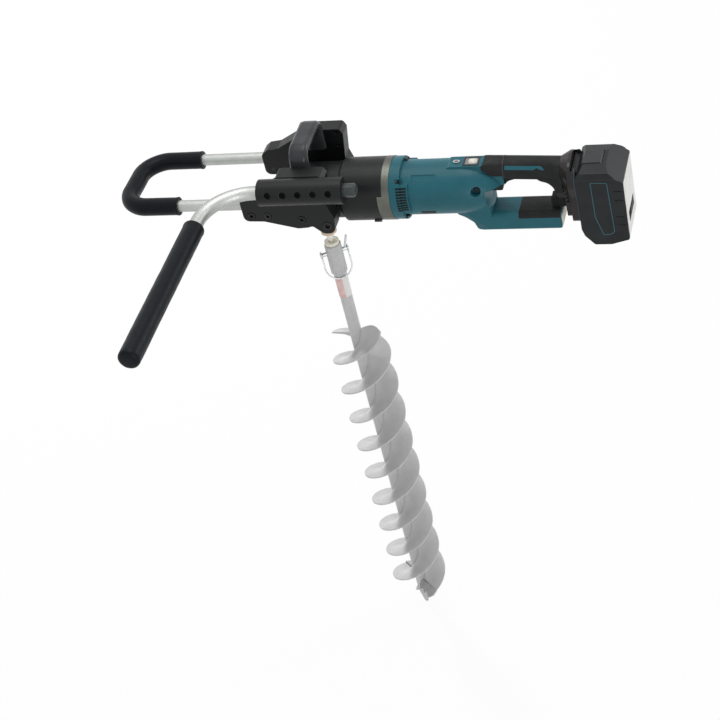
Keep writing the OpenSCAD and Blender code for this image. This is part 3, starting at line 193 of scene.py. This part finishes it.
def bare_metal(name, shade, dull, roughness, marks_mm, stretch, depth_mm):
    """Bare metal whose tool marks run one way: drawn pipes along X, turned and ground steel across
    it, cast alloy with no direction. The marks streak the highlights, and duller patches hold a
    film of oxide."""
    material, tree, shader, place = finish(name, shade, roughness, metallic=1.0)
    turned = add(tree, "Mapping", {"Vector": place, "Scale": stretch})
    marks = add(tree, "TexNoise", {"Vector": turned.outputs["Vector"],
                                   "Scale": per_metre(marks_mm), "Detail": 3.0})
    film = add(tree, "TexNoise", {"Vector": place, "Scale": per_metre(15), "Detail": 5.0,
                                  "Roughness": 0.6})
    rounded = add(tree, "Bevel", {"Radius": 0.5 * MM}, samples=6)
    patch = add(tree, "MapRange", {"Value": film.outputs["Fac"], "From Min": 0.35,
                                   "From Max": 0.75})
    colour = add(tree, "Mix", {0: patch.outputs["Result"], 6: linear(shade), 7: linear(dull)},
                 data_type="RGBA")
    tree.links.new(colour.outputs[2], shader.inputs["Base Color"])
    gloss = add(tree, "MapRange", {"Value": marks.outputs["Fac"], "From Min": 0.3, "From Max": 0.7,
                                   "To Min": roughness - 0.08, "To Max": roughness + 0.08})
    tree.links.new(gloss.outputs["Result"], shader.inputs["Roughness"])
    bump = add(tree, "Bump", {"Strength": 0.3, "Distance": depth_mm * MM,
                              "Height": marks.outputs["Fac"], "Normal": rounded.outputs["Normal"]})
    tree.links.new(bump.outputs["Normal"], shader.inputs["Normal"])
    return material


def cell_foam(name, shade, pale):
    """Closed-cell rubber foam: a skin of fine burst cells, drawn at 1.5 mm to show, with a soft
    satin shine along the sleeve and a bluish bloom where light grazes it."""
    material, tree, shader, place = finish(name, shade, 0.42, IOR=1.45, Specular_IOR_Level=0.16,
                                           Sheen_Weight=0.02, Sheen_Roughness=0.5)
    shader.inputs["Sheen Tint"].default_value = linear("#AEB9C8")
    shader.inputs["Specular Tint"].default_value = linear("#DCE4F2")
    cells = add(tree, "TexVoronoi", {"Vector": place, "Scale": per_metre(1.5), "Randomness": 1.0})
    lumps = add(tree, "TexNoise", {"Vector": place, "Scale": per_metre(9), "Detail": 3.0})
    pores = add(tree, "MapRange", {"Value": cells.outputs["Distance"], "From Min": 0.1,
                                   "From Max": 0.55})
    colour = add(tree, "Mix", {0: lumps.outputs["Fac"], 6: linear(shade), 7: linear(pale)},
                 data_type="RGBA")
    tree.links.new(colour.outputs[2], shader.inputs["Base Color"])
    gloss = add(tree, "MapRange", {"Value": lumps.outputs["Fac"], "From Min": 0.3, "From Max": 0.7,
                                   "To Min": 0.36, "To Max": 0.48})
    tree.links.new(gloss.outputs["Result"], shader.inputs["Roughness"])
    both = add(tree, "Math", {0: pores.outputs["Result"], 1: 0.3, 2: lumps.outputs["Fac"]},
               operation="MULTIPLY_ADD")
    bump = add(tree, "Bump", {"Strength": 0.2, "Distance": 0.15 * MM, "Height": both.outputs[0]})
    tree.links.new(bump.outputs["Normal"], shader.inputs["Normal"])
    return material


def stoved_coat(name, shade, scuffed, roughness):
    """Sprayed and stoved coat on steel, also used for smooth films and prints: a slight ripple,
    scuffed in fine patches by soil and handling."""
    material, tree, shader, place = finish(name, shade, roughness, IOR=1.5, Specular_IOR_Level=0.5)
    ripple = add(tree, "TexNoise", {"Vector": place, "Scale": per_metre(3.5), "Detail": 2.0})
    scuffs = add(tree, "TexNoise", {"Vector": place, "Scale": per_metre(14), "Detail": 7.0,
                                    "Roughness": 0.65})
    patch = add(tree, "MapRange", {"Value": scuffs.outputs["Fac"], "From Min": 0.45,
                                   "From Max": 0.75})
    colour = add(tree, "Mix", {0: patch.outputs["Result"], 6: linear(shade), 7: linear(scuffed)},
                 data_type="RGBA")
    tree.links.new(colour.outputs[2], shader.inputs["Base Color"])
    gloss = add(tree, "MapRange", {"Value": scuffs.outputs["Fac"], "From Min": 0.3, "From Max": 0.7,
                                   "To Min": roughness - 0.08, "To Max": roughness + 0.12})
    tree.links.new(gloss.outputs["Result"], shader.inputs["Roughness"])
    rounded = add(tree, "Bevel", {"Radius": 0.6 * MM}, samples=6)
    bump = add(tree, "Bump", {"Strength": 0.25, "Distance": 0.15 * MM,
                              "Height": ripple.outputs["Fac"], "Normal": rounded.outputs["Normal"]})
    tree.links.new(bump.outputs["Normal"], shader.inputs["Normal"])
    return material


def striped_band(name, shade, stripe):
    """White vinyl band wrapped round the shaft, with one plain red stripe along the shaft on one
    side, its ink a little rubbed, and a film of dust that dulls the gloss."""
    material, tree, shader, place = finish(name, shade, 0.4, IOR=1.5, Specular_IOR_Level=0.3)
    side = add(tree, "VectorMath", {0: place, 1: BAND_STRIPE}, operation="DOT_PRODUCT")
    mask = add(tree, "MapRange", {"Value": side.outputs["Value"], "From Min": 0.6 * MM,
                                  "From Max": 2.2 * MM})
    grub = add(tree, "TexNoise", {"Vector": place, "Scale": per_metre(8), "Detail": 5.0})
    ink = add(tree, "Math", {0: mask.outputs["Result"], 1: grub.outputs["Fac"]},
              operation="MULTIPLY")
    colour = add(tree, "Mix", {0: ink.outputs[0], 6: linear(shade), 7: linear(stripe)},
                 data_type="RGBA")
    tree.links.new(colour.outputs[2], shader.inputs["Base Color"])
    gloss = add(tree, "MapRange", {"Value": grub.outputs["Fac"], "To Min": 0.25, "To Max": 0.55})
    tree.links.new(gloss.outputs["Result"], shader.inputs["Roughness"])
    return material


# The second colour of each nylon shows in faint clouds and on its edges, where it is handling wear
# and a painted edge highlight
teal_nylon = moulded_nylon("teal_glass_filled_nylon", "#1B5560", "#31727D", 0.42)
black_nylon = moulded_nylon("black_glass_filled_nylon", "#151617", "#2C2D2E", 0.42)
battery_nylon = moulded_nylon("battery_case_nylon", "#141719", "#303637", 0.42)
grey_nylon = moulded_nylon("grey_acetal_button", "#3B3E3F", "#6A6C6D", 0.35)
black_rubber = overmoulded_rubber("black_overmoulded_elastomer", "#131415", "#1C1D1E")
black_casting = painted_casting("black_painted_die_casting", "#161718", "#6E6F70", 0.4)
grey_casting = bare_metal("shot_blasted_aluminium_casting", "#676862", "#595A55", 0.4, 0.9,
                          (1, 1, 1), 0.15)
drawn_pipe = bare_metal("drawn_aluminium_pipe", "#B8BAB7", "#AEB0AD", 0.5, 0.5,
                        (0.03, 0.4, 1), 0.008)
turned_steel = bare_metal("turned_steel", "#A4A5A6", "#86878A", 0.32, 0.4, (1, 0.2, 0.2), 0.03)
black_screw = bare_metal("blackened_screw_steel", "#3B3B3C", "#26272A", 0.38, 0.5, (1, 1, 1), 0.03)
zinc_wire = bare_metal("bright_zinc_wire", "#CDCFD0", "#B6B8BA", 0.45, 0.4, (1, 1, 0.2), 0.03)
copper_winding = bare_metal("enamelled_copper_winding", "#B0693A", "#8A4E2A", 0.35, 0.6,
                            (0.1, 1, 1), 0.2)
auger_coat = stoved_coat("grey_stoved_coat", "#C0C0C0", "#B5B5B5", 0.34)
blade_coat = stoved_coat("ground_blade_steel", "#ADADAD", "#959595", 0.34)
# The cream of the chromated adapter, also used as a painted light on the arm's rear end
cream_coat_and_gap_light = stoved_coat("cream_chromate_coat_and_painted_gap_light", "#E6E2D4", "#D8D2C2", 0.38)
seal_rubber = overmoulded_rubber("beige_seal_rubber", "#DCC8B2", "#CDB79F")
band_vinyl = striped_band("white_vinyl_band", "#E2E1DE", "#D68583")
foam_rubber = cell_foam("black_closed_cell_foam", "#0A0B0D", "#121417")
# Painted sheen: the carry bar's black is lifted to a dark grey to stand in for the sheen along its
# top
bar_painted_sheen_nylon = moulded_nylon("satin_black_bar_nylon_with_painted_sheen", "#2E3033", "#5C5E62", 0.26)
plug_nylon = moulded_nylon("grey_plug_nylon", "#2F3535", "#6A7070", 0.22)
# Painted light: the battery button is paler than its case, standing in for the light on its raised
# top
button_painted_light_nylon = moulded_nylon("black_button_nylon_with_painted_top_light", "#2C2D2E", "#4A4B4C", 0.4)
# The holder's screws are near-black: black-oxide steel, and a painted shade of the recesses they
# sit in
socket_steel_and_recess_shade = bare_metal("oiled_black_socket_steel_with_painted_recess_shade", "#101011", "#18181A", 0.5, 0.5,
                          (1, 1, 1), 0.03)
neck_steel = bare_metal("ground_neck_steel", "#DAD9CF", "#C8C7BD", 0.4, 0.4, (0.2, 0.2, 1), 0.03)
# Partly painted sheen: the mount's black is lifted to stand in for the glints on its gloss
mount_painted_sheen_nylon = moulded_nylon("polished_black_mount_nylon_with_painted_sheen", "#221F1F", "#4A4443", 0.22)
teal_line = stoved_coat("teal_pad_print", "#2A626C", "#235460", 0.4)
mount_teal = stoved_coat("dark_teal_bead", "#173F49", "#12343D", 0.4)
seam_line = stoved_coat("grey_seam_bead", "#2B2B2C", "#222223", 0.45)
field_film = stoved_coat("grey_display_film", "#7F7E84", "#727177", 0.3)
# Near-black sheet: painted shade inside the vent slots and the slits of battery and barrel, and
# also the real black field printed on the battery's rear plate
slot_shade_and_print_black = overmoulded_rubber("black_painted_slot_shade_and_print", "#08090A", "#0C0D0E")
display_gloss = stoved_coat("dark_display_glass", "#0E1012", "#14161A", 0.16)
screen_film = stoved_coat("pale_display_film", "#D5D3C6", "#C9C7B9", 0.3)
plate_film = stoved_coat("white_plate_film", "#E6E6E3", "#DADAD6", 0.4)

slot_finish = {
    "black_cast": black_casting, "silver_cast": grey_casting, "teal_plastic": teal_nylon,
    "black_plastic": black_nylon, "soft_black": black_rubber, "battery_plastic": battery_nylon,
    "bright_pipe": drawn_pipe, "foam": foam_rubber, "steel": turned_steel,
    "dark_screw": black_screw, "zinc": zinc_wire, "auger_paint": auger_coat, "cream": cream_coat_and_gap_light,
    "beige": seal_rubber, "copper": copper_winding, "white_band": band_vinyl,
    "dark_gloss": display_gloss, "grey_plastic": grey_nylon,
}

# These solids differ a little in finish from others of their slot, some with painted light: sheen
# on the carry bar and mount, light on the battery button's top, and shade round the holder's screws
node_finish = {
    "cutter_blades": blade_coat, "battery_mount": mount_painted_sheen_nylon, "carry_bar": bar_painted_sheen_nylon,
    "side_plug": plug_nylon, "battery_button": button_painted_light_nylon, "holder_screws": socket_steel_and_recess_shade,
    "spindle": neck_steel,
}

# Every other solid of the frame takes the finish of its material slot
for part in frame["record"]["subparts"]:
    solid = frame["nodes"][part["node"]]
    solid.data.materials.clear()
    solid.data.materials.append(node_finish.get(part["node"], slot_finish[part["material_slot"]]))


# Pieces


def piece(name, mesh, body, material, sharp=35):
    """Closes a bmesh into a named object that rides on a body, smooth but for its sharper edges."""
    bmesh.ops.remove_doubles(mesh, verts=mesh.verts, dist=0.002 * MM)
    bmesh.ops.recalc_face_normals(mesh, faces=mesh.faces)
    for face in mesh.faces:
        face.smooth = True
    for edge in mesh.edges:
        edge.smooth = edge.is_manifold and edge.calc_face_angle() < radians(sharp)
    data = bpy.data.meshes.new(name)
    mesh.to_mesh(data)
    mesh.free()
    data.materials.append(material)
    made = bpy.data.objects.new(name, data)
    bpy.context.scene.collection.objects.link(made)
    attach(made, body)
    return made


def draw_out(mesh, cap, move, steps):
    """Extrudes an end face in equal steps and gives the new end face."""
    for _ in range(steps):
        grown = bmesh.ops.extrude_face_region(mesh, geom=cap)["geom"]
        cap = [g for g in grown if isinstance(g, bmesh.types.BMFace)]
        moved = [g for g in grown if isinstance(g, bmesh.types.BMVert)]
        bmesh.ops.translate(mesh, verts=moved, vec=move / steps)
    return cap


def bend(mesh, cap, centre, angle, steps):
    """Turns an end face about an upright axis and gives the new end face."""
    turned = bmesh.ops.spin(mesh, geom=cap, cent=centre, axis=(0, 0, 1), angle=angle, steps=steps)
    return [g for g in turned["geom_last"] if isinstance(g, bmesh.types.BMFace)]


def ease(mesh, edges, offset_mm, segments):
    """Rounds some edges."""
    bmesh.ops.bevel(mesh, geom=edges, offset=offset_mm * MM, affect="EDGES", segments=segments,
                    profile=0.5, material=-1)


def press_out(mesh, depth_mm, size_mm):
    """Leaves foam a little uneven, as it is once pushed over a pipe."""
    mesh.normal_update()
    for v in mesh.verts:
        v.co += v.normal * (depth_mm * MM * noise.noise(v.co / (size_mm * MM)))


def loop_foam():
    """The sleeve of the front loop: an annulus drawn along the near arm, round both bends and back
    along the far arm, with a soft lip where each end was cut."""
    end, arm, front, bend_r, height = -181.6, 55, -266.5, 36, 18.7
    outer, bore, lip_length, lip = 12.3, 8.1, 5, 0.6
    mesh = bmesh.new()
    place = Matrix.Translation(at(end, -arm, height)) @ Matrix.Rotation(pi / 2, 4, "Y")
    for radius in (outer, bore):
        bmesh.ops.create_circle(mesh, segments=56, radius=radius * MM, matrix=place)
    bmesh.ops.bridge_loops(mesh, edges=mesh.edges[:])
    cap = draw_out(mesh, mesh.faces[:], Vector(((front + bend_r - end) * MM, 0, 0)), 16)
    cap = bend(mesh, cap, at(front + bend_r, bend_r - arm, height), -pi / 2, 18)
    cap = draw_out(mesh, cap, Vector((0, 2 * (arm - bend_r) * MM, 0)), 12)
    cap = bend(mesh, cap, at(front + bend_r, arm - bend_r, height), -pi / 2, 18)
    draw_out(mesh, cap, Vector(((end - front - bend_r) * MM, 0, 0)), 16)
    bmesh.ops.recalc_face_normals(mesh, faces=mesh.faces)
    press_out(mesh, 0.25, 16)
    for v in mesh.verts:
        # The outside of the cut ends spreads by about half a millimetre
        near_end = max(0.0, 1 - (end * MM - v.co.x) / (lip_length * MM))
        middle = at(0, arm if v.co.y > 0 else -arm, height)
        out = Vector((0, v.co.y - middle.y, v.co.z - middle.z))
        if out.length > 10 * MM:
            v.co += out.normalized() * lip * MM * near_end
    rims = [e for e in mesh.edges if e.calc_face_angle(0) > radians(60)]
    ease(mesh, rims, 1.2, 3)
    made = piece("loop_foam", mesh, "machine", foam_rubber, sharp=50)
    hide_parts("loop_grip")


def side_foam():
    """The sleeve of the side handle: an outline from the flat tip along the outside to the cut end
    and back up the bore, spun about the pipe's axis."""
    x, z, first, last, outer, bore, pipe_end = -119, 52.5, -153.5, -415.5, 14.3, 9.6, -401.0
    mesh = bmesh.new()
    outline = [(last, 0), (last, 9.8), (last + 0.7, 12.2), (last + 2.2, 13.7), (last + 4.5, outer),
               (first - 6, outer), (first - 2.5, outer + 0.5), (first - 0.8, outer + 0.2),
               (first, outer - 1.2), (first, bore), (pipe_end, bore), (pipe_end, 0)]
    corners = [mesh.verts.new(at(x, y, z + r)) for y, r in outline]
    edges = [mesh.edges.new(pair) for pair in zip(corners, corners[1:])]
    long_edge = edges[4]
    bmesh.ops.subdivide_edges(mesh, edges=[long_edge], cuts=60)
    bmesh.ops.spin(mesh, geom=mesh.verts[:] + mesh.edges[:], cent=at(x, 0, z), axis=(0, 1, 0),
                   angle=2 * pi, steps=60, use_merge=True)
    bmesh.ops.remove_doubles(mesh, verts=mesh.verts, dist=0.002 * MM)
    bmesh.ops.recalc_face_normals(mesh, faces=mesh.faces)
    press_out(mesh, 0.25, 18)
    made = piece("side_foam", mesh, "side_handle", foam_rubber, sharp=50)
    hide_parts("side_grip")


def smooth_flight(node, droop_mm, bulge, sag_mm):
    """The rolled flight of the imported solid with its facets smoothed, so that its coat shines
    evenly. Its upper end droops, the corner is rounded, the cut edge bulges by an angle half way
    out, and the half turn below it sags."""
    droop_zone, corner_zone = 38 * MM, 17 * MM
    mesh = bmesh.new()
    mesh.from_mesh(frame["nodes"][node].data)
    bmesh.ops.remove_doubles(mesh, verts=mesh.verts, dist=0.005 * MM)
    bmesh.ops.join_triangles(mesh, faces=mesh.faces[:], angle_face_threshold=radians(60),
                             angle_shape_threshold=pi)
    across = [e for e in mesh.edges
              if abs(e.verts[0].co.xy.length - e.verts[1].co.xy.length) > 20 * MM]
    bmesh.ops.subdivide_edges(mesh, edges=across, cuts=10, use_grid_fill=True)
    last = max(mesh.verts, key=lambda v: v.co.z).co.copy()
    for v in mesh.verts:
        below = last.z - v.co.z
        half_turn = min(1.0, below / (FLIGHT_PITCH / 2 * MM))
        eased = max(0.0, 1 - below / droop_zone)
        corner = max(0.0, 1 - below / corner_zone)
        out = v.co.xy.length / (FLIGHT_RADIUS * MM)
        turn = radians(bulge) * corner ** 2 * max(0.0, 1 - ((out - 0.6) / 0.4) ** 2)
        v.co.z -= droop_mm * MM * eased ** 2 + sag_mm * MM * sin(pi * half_turn)
        v.co.xy *= 1 - 0.3 * corner ** 3 * max(0.0, out - 0.4)
        rise = Vector((0, 0, FLIGHT_PITCH * MM * turn / (2 * pi)))
        v.co = Matrix.Rotation(turn, 3, "Z") @ v.co + rise
    made = piece("rolled_" + node, mesh, "auger", auger_coat, sharp=40)
    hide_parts(node)


def outline_of(corners, round_mm):
    """One flat face from its corners, each rounded."""
    mesh = bmesh.new()
    mesh.faces.new([mesh.verts.new(corner) for corner in corners])
    bmesh.ops.bevel(mesh, geom=mesh.verts[:], offset=round_mm * MM, affect="VERTICES", segments=5,
                    profile=0.5, material=-1)
    mesh.normal_update()
    mesh.faces.ensure_lookup_table()
    return mesh


def plate(corners, thick_mm, round_mm, rim_mm):
    """A thin plate on the face that its corners lie in, with an eased rim."""
    mesh = outline_of(corners, round_mm)
    face = mesh.faces[0]
    cap = draw_out(mesh, [face], face.normal * thick_mm * MM, 1)
    bmesh.ops.recalc_face_normals(mesh, faces=mesh.faces)
    ease(mesh, list(cap[0].edges), rim_mm, 2)
    return mesh


def printed_line(corners, round_mm, width_mm, thick_mm):
    """A closed line of ink round an outline."""
    mesh = outline_of(corners, round_mm)
    face = mesh.faces[0]
    out = face.normal * thick_mm * MM
    ring = bmesh.ops.inset_region(mesh, faces=[face], thickness=width_mm * MM, use_boundary=True,
                                  use_even_offset=True)["faces"]
    bmesh.ops.delete(mesh, geom=[face], context="FACES_ONLY")
    draw_out(mesh, ring, out, 1)
    return mesh


def barrel_sector(x0, x1, r0, r1, start, end, ease_mm):
    """A block that follows the barrel between two angles, measured from its far side over the
    top."""
    mesh = bmesh.new()
    corners = [Matrix.Rotation(radians(start), 4, "X") @ (Vector((x, r, 0)) * MM) + at(0, 0, 0)
               for x, r in ((x0, r0), (x1, r0), (x1, r1), (x0, r1))]
    face = mesh.faces.new([mesh.verts.new(corner) for corner in corners])
    bmesh.ops.spin(mesh, geom=[face], cent=at(0, 0, 0), axis=(1, 0, 0), angle=radians(end - start),
                   steps=8)
    bmesh.ops.recalc_face_normals(mesh, faces=mesh.faces)
    rims = [e for e in mesh.edges if e.calc_face_angle(0) > radians(45)]
    ease(mesh, rims, ease_mm, 2)
    return mesh


def band_over(node, x0, x1, middle, lift_mm):
    """A bead that follows the outside of a solid between two cuts across the machine."""
    mesh = bmesh.new()
    mesh.from_mesh(frame["nodes"][node].data)
    bmesh.ops.remove_doubles(mesh, verts=mesh.verts, dist=0.005 * MM)
    for x, below in ((x0, True), (x1, False)):
        bmesh.ops.bisect_plane(mesh, geom=mesh.verts[:] + mesh.edges[:] + mesh.faces[:],
                               plane_co=at(x, 0, 0), plane_no=(1, 0, 0), clear_inner=below,
                               clear_outer=not below)
    mesh.normal_update()
    hidden = [f for f in mesh.faces if abs(f.normal.x) > 0.7
              or f.normal.dot(f.calc_center_median() - middle) < 0]
    bmesh.ops.delete(mesh, geom=hidden, context="FACES")
    mesh.normal_update()
    for v in mesh.verts:
        v.co += v.normal * lift_mm * MM
    bmesh.ops.solidify(mesh, geom=mesh.faces[:], thickness=lift_mm * MM * 1.5)
    return mesh


def on_top(x0, x1, half, z):
    """Corners of a rectangle that faces up."""
    return [at(x0, -half, z), at(x1, -half, z), at(x1, half, z), at(x0, half, z)]


def on_rear(y0, y1, z0, z1, x):
    """Corners of a rectangle that faces the rear."""
    return [at(x, y0, z0), at(x, y1, z0), at(x, y1, z1), at(x, y0, z1)]


def on_side(outline, side, y):
    """Corners on the near side, where side is -1, or on the far side, where it is 1."""
    corners = [at(x, side * y, z) for x, z in outline]
    return corners if side < 0 else corners[::-1]


def vent_slot_shade(side):
    """Painted shade: black strips over the nine vent slots of one side, standing in for the shade
    inside the openings, each in a part on the flange and a part on the barrel."""
    under, half_width, pitch, first = 40.8, 1.8, 5.5, 31.7
    shade_strips = bmesh.new()
    for k in range(9):
        middle = (180 if side < 0 else 0) - side * (pitch * k - first)
        for x0, x1, r in ((122.7, 126.3, 42.9), (126, 136.6, 41.3)):
            strip = barrel_sector(x0, x1, under, r, middle - half_width, middle + half_width, 0.08)
            strip_data = bpy.data.meshes.new("vent_strip")
            strip.to_mesh(strip_data)
            strip.free()
            shade_strips.from_mesh(strip_data)
            bpy.data.meshes.remove(strip_data)
    return shade_strips


def grip_throat():
    """The small fillet between the grip and the trigger's guard."""
    outline = [(264.1, 5.5), (265.3, 7.2), (267.6, 9.8), (271, 12), (276, 13.2), (279, 14.5),
               (264.1, 14.5)]
    half, under_grip = 10.5, 13.5
    mesh = bmesh.new()
    face = mesh.faces.new([mesh.verts.new(at(x, -half, z)) for x, z in outline])
    draw_out(mesh, [face], Vector((0, 2 * half * MM, 0)), 1)
    bmesh.ops.recalc_face_normals(mesh, faces=mesh.faces)
    rims = [e for e in mesh.edges if abs(e.verts[0].co.y - e.verts[1].co.y) < MM
            and min(v.co.z for v in e.verts) < at(0, 0, under_grip).z]
    ease(mesh, rims, 1.0, 3)
    piece("grip_throat", mesh, "machine", black_rubber)


def small_trim():
    """Films, lines, plates and blocks that sit on the solids, among them painted shade over slots
    and slits and a painted light on the arm's end.
    """
    display = plate(on_top(213.8, 231, 7.0, PANEL_TOP), 0.3, 1.5, 0.1)
    piece("display_film", display, "machine", field_film)
    field = plate(on_top(218.2, 230.2, 5.9, PANEL_TOP + 0.3), 0.1, 4.0, 0.03)
    piece("display_field", field, "machine", screen_film)
    ring = printed_line(on_top(197.6, 206.4, 2.9, PANEL_TOP + 0.8), 2.8, 1.1, 0.12)
    piece("button_ring", ring, "direction_button", plate_film)
    # Painted light: a cream plate on the arm's rear end stands in for the pale background seen
    # through the gap between arm and battery mount
    arm_end = plate(on_rear(-20.5, 20.5, -55.5, -38.5, ARM_END), 0.7, 1.5, 0.25)
    piece("arm_end_painted_gap_light", arm_end, "machine", cream_coat_and_gap_light)
    rear = plate(on_rear(-34.5, 34.5, -66, 19.5, BATTERY_REAR), 0.4, 2.5, 0.15)
    piece("battery_rear_plate", rear, "battery", plate_film)
    dark = plate(on_rear(-22, 20, -50, -35, BATTERY_REAR + 0.4), 0.15, 1.0, 0.05)
    piece("battery_rear_field", dark, "battery", slot_shade_and_print_black)
    line_corners = [(382.6, -31.7), (390.8, -60.3), (401.5, -59.5), (406.1, -54.7), (403.6, 22.1),
                    (381.6, 23.2)]
    slit_x0, slit_x1, slit_half = 410.5, 421, 1.2
    for side, word in ((-1, "near"), (1, "far")):
        line = printed_line(on_side(line_corners, side, BATTERY_SIDE), 2.0, 0.9, 0.15)
        piece("battery_line_" + word, line, "battery", teal_line)
        # Painted shade: four thin black plates stand in for the shade inside the battery's side
        # slits
        for k, z in enumerate((8, -6, -32, -45)):
            low, high = z - slit_half, z + slit_half
            corners = [(slit_x0, low), (slit_x1, low), (slit_x1, high), (slit_x0, high)]
            slit = plate(on_side(corners, side, BATTERY_SIDE), 0.15, 1.0, 0.05)
            piece("battery_slit_shade_%s_%d" % (word, k), slit, "battery", slot_shade_and_print_black)
        # One clip sits low on the near side and one high on the far side
        clip_angles = (62, 74) if side > 0 else (228, 240)
        block = barrel_sector(126.4, 131.5, 36.7, 39.4, *clip_angles, 0.5)
        piece("flange_clip_" + word, block, "machine", black_nylon)
        # Painted shade: a thin black band stands in for the shade inside the slit under the barrel
        slot_angles = (-42, -28) if side > 0 else (208, 222)
        slot = barrel_sector(150, 170, 36.8, 37.2, *slot_angles, 0.1)
        piece("barrel_slit_shade_" + word, slot, "machine", slot_shade_and_print_black)
        # Painted shade: black strips over the vent slots stand in for the shade inside them
        piece("vent_slot_shade_" + word, vent_slot_shade(side), "machine", slot_shade_and_print_black)
    seam = band_over("grip_cover", 264.9, 265.9, at(265.4, 0, 27), 0.2)
    piece("grip_seam", seam, "machine", seam_line)
    bead = band_over("battery_mount", 360, 361.1, at(360, 0, 0), 0.15)
    piece("mount_line", bead, "machine", mount_teal)


loop_foam()
side_foam()
smooth_flight("flight_a", droop_mm=3, bulge=13, sag_mm=0)
smooth_flight("flight_b", droop_mm=11, bulge=0, sag_mm=13)
small_trim()
grip_throat()


# Studio


def seen_white(tree):
    """One where a ray comes from the camera, a mirror or glass, and nought for other rays."""
    path = add(tree, "LightPath", {})
    seen = add(tree, "Math", {0: path.outputs["Is Camera Ray"], 1: path.outputs["Is Glossy Ray"]},
               operation="MAXIMUM")
    both = add(tree, "Math", {0: seen.outputs[0], 1: path.outputs["Is Transmission Ray"]},
               operation="MAXIMUM")
    return both.outputs[0]


world = bpy.data.worlds.new("white_studio")
bpy.context.scene.world = world
world.use_nodes = True
sky = world.node_tree
strength = add(sky, "MapRange", {"Value": seen_white(sky), "To Min": 0.45, "To Max": 1.0})
sky.nodes["Background"].inputs["Color"].default_value = (1, 1, 1, 1)
sky.links.new(strength.outputs["Result"], sky.nodes["Background"].inputs["Strength"])

# The floor is pale to the lamps, and white to the eye but for the object's faint shadow
floor_paint = bpy.data.materials.new("pale_studio_floor")
floor_paint.use_nodes = True
paint = floor_paint.node_tree
paint.nodes.remove(paint.nodes["Principled BSDF"])
matt = add(paint, "BsdfDiffuse", {"Color": linear("#DADADA")})
glow = add(paint, "Emission", {"Color": (1, 1, 1, 1), "Strength": 1.0})
share = add(paint, "MapRange", {"Value": seen_white(paint), "To Max": 0.94})
joined = add(paint, "MixShader", {0: share.outputs["Result"], 1: matt.outputs[0],
                                  2: glow.outputs[0]})
paint.links.new(joined.outputs[0], paint.nodes["Material Output"].inputs["Surface"])
ground = bmesh.new()
bmesh.ops.create_circle(ground, cap_ends=True, segments=64, radius=8,
                        matrix=Matrix.Translation((0, 0, FLOOR_Z * MM)))
ground_data = bpy.data.meshes.new("studio_floor")
ground.to_mesh(ground_data)
ground.free()
ground_data.materials.append(floor_paint)
floor = bpy.data.objects.new("studio_floor", ground_data)
bpy.context.scene.collection.objects.link(floor)


def softbox(name, place, target, width, height, watts, mirrored=True):
    """An area lamp that faces a point, and that shiny surfaces mirror or not."""
    lamp = bpy.data.lights.new(name, "AREA")
    lamp.shape, lamp.size, lamp.size_y, lamp.energy = "RECTANGLE", width, height, watts
    made = bpy.data.objects.new(name, lamp)
    bpy.context.scene.collection.objects.link(made)
    aim = Vector(target) - Vector(place)
    made.visible_camera = False
    made.visible_glossy = mirrored
    turned = aim.to_track_quat("-Z", "Y").to_matrix().to_4x4()
    made.matrix_world = Matrix.Translation(place) @ turned


softbox("overhead_softbox", (0.1, 0.2, 1.7), (0.1, 0, -0.1), 1.2, 1.2, 19)
softbox("right_softbox", (2.0, 1.4, 0.45), (-0.05, -0.2, -0.1), 0.9, 1.3, 16)
softbox("front_softbox", (0.9, -2.2, 0.0), (0.05, 0, -0.4), 1.2, 0.9, 17)
softbox("rear_softbox", (-2.55, 2.85, 0.55), (0, 0, -0.5), 0.6, 0.6, 150, mirrored=False)

# The camera's place and turn follow from the machine's straight edges in the photo
camera_data = bpy.data.cameras.new("photo_camera")
camera_data.lens = 85.435
camera_data.sensor_width = 36
camera_data.clip_end = 20
camera = bpy.data.objects.new("photo_camera", camera_data)
bpy.context.scene.collection.objects.link(camera)
right, up, back = (0.9517, 0.2315, -0.2015), (-0.0011, 0.6589, 0.7522), (0.3069, -0.7157, 0.6274)
camera_turn = Matrix((right, up, back)).transposed()
camera.matrix_world = Matrix.Translation((0.7722, -1.8126, 1.1929)) @ camera_turn.to_4x4()
bpy.context.scene.camera = camera
bpy.context.scene.view_settings.view_transform = "Standard"
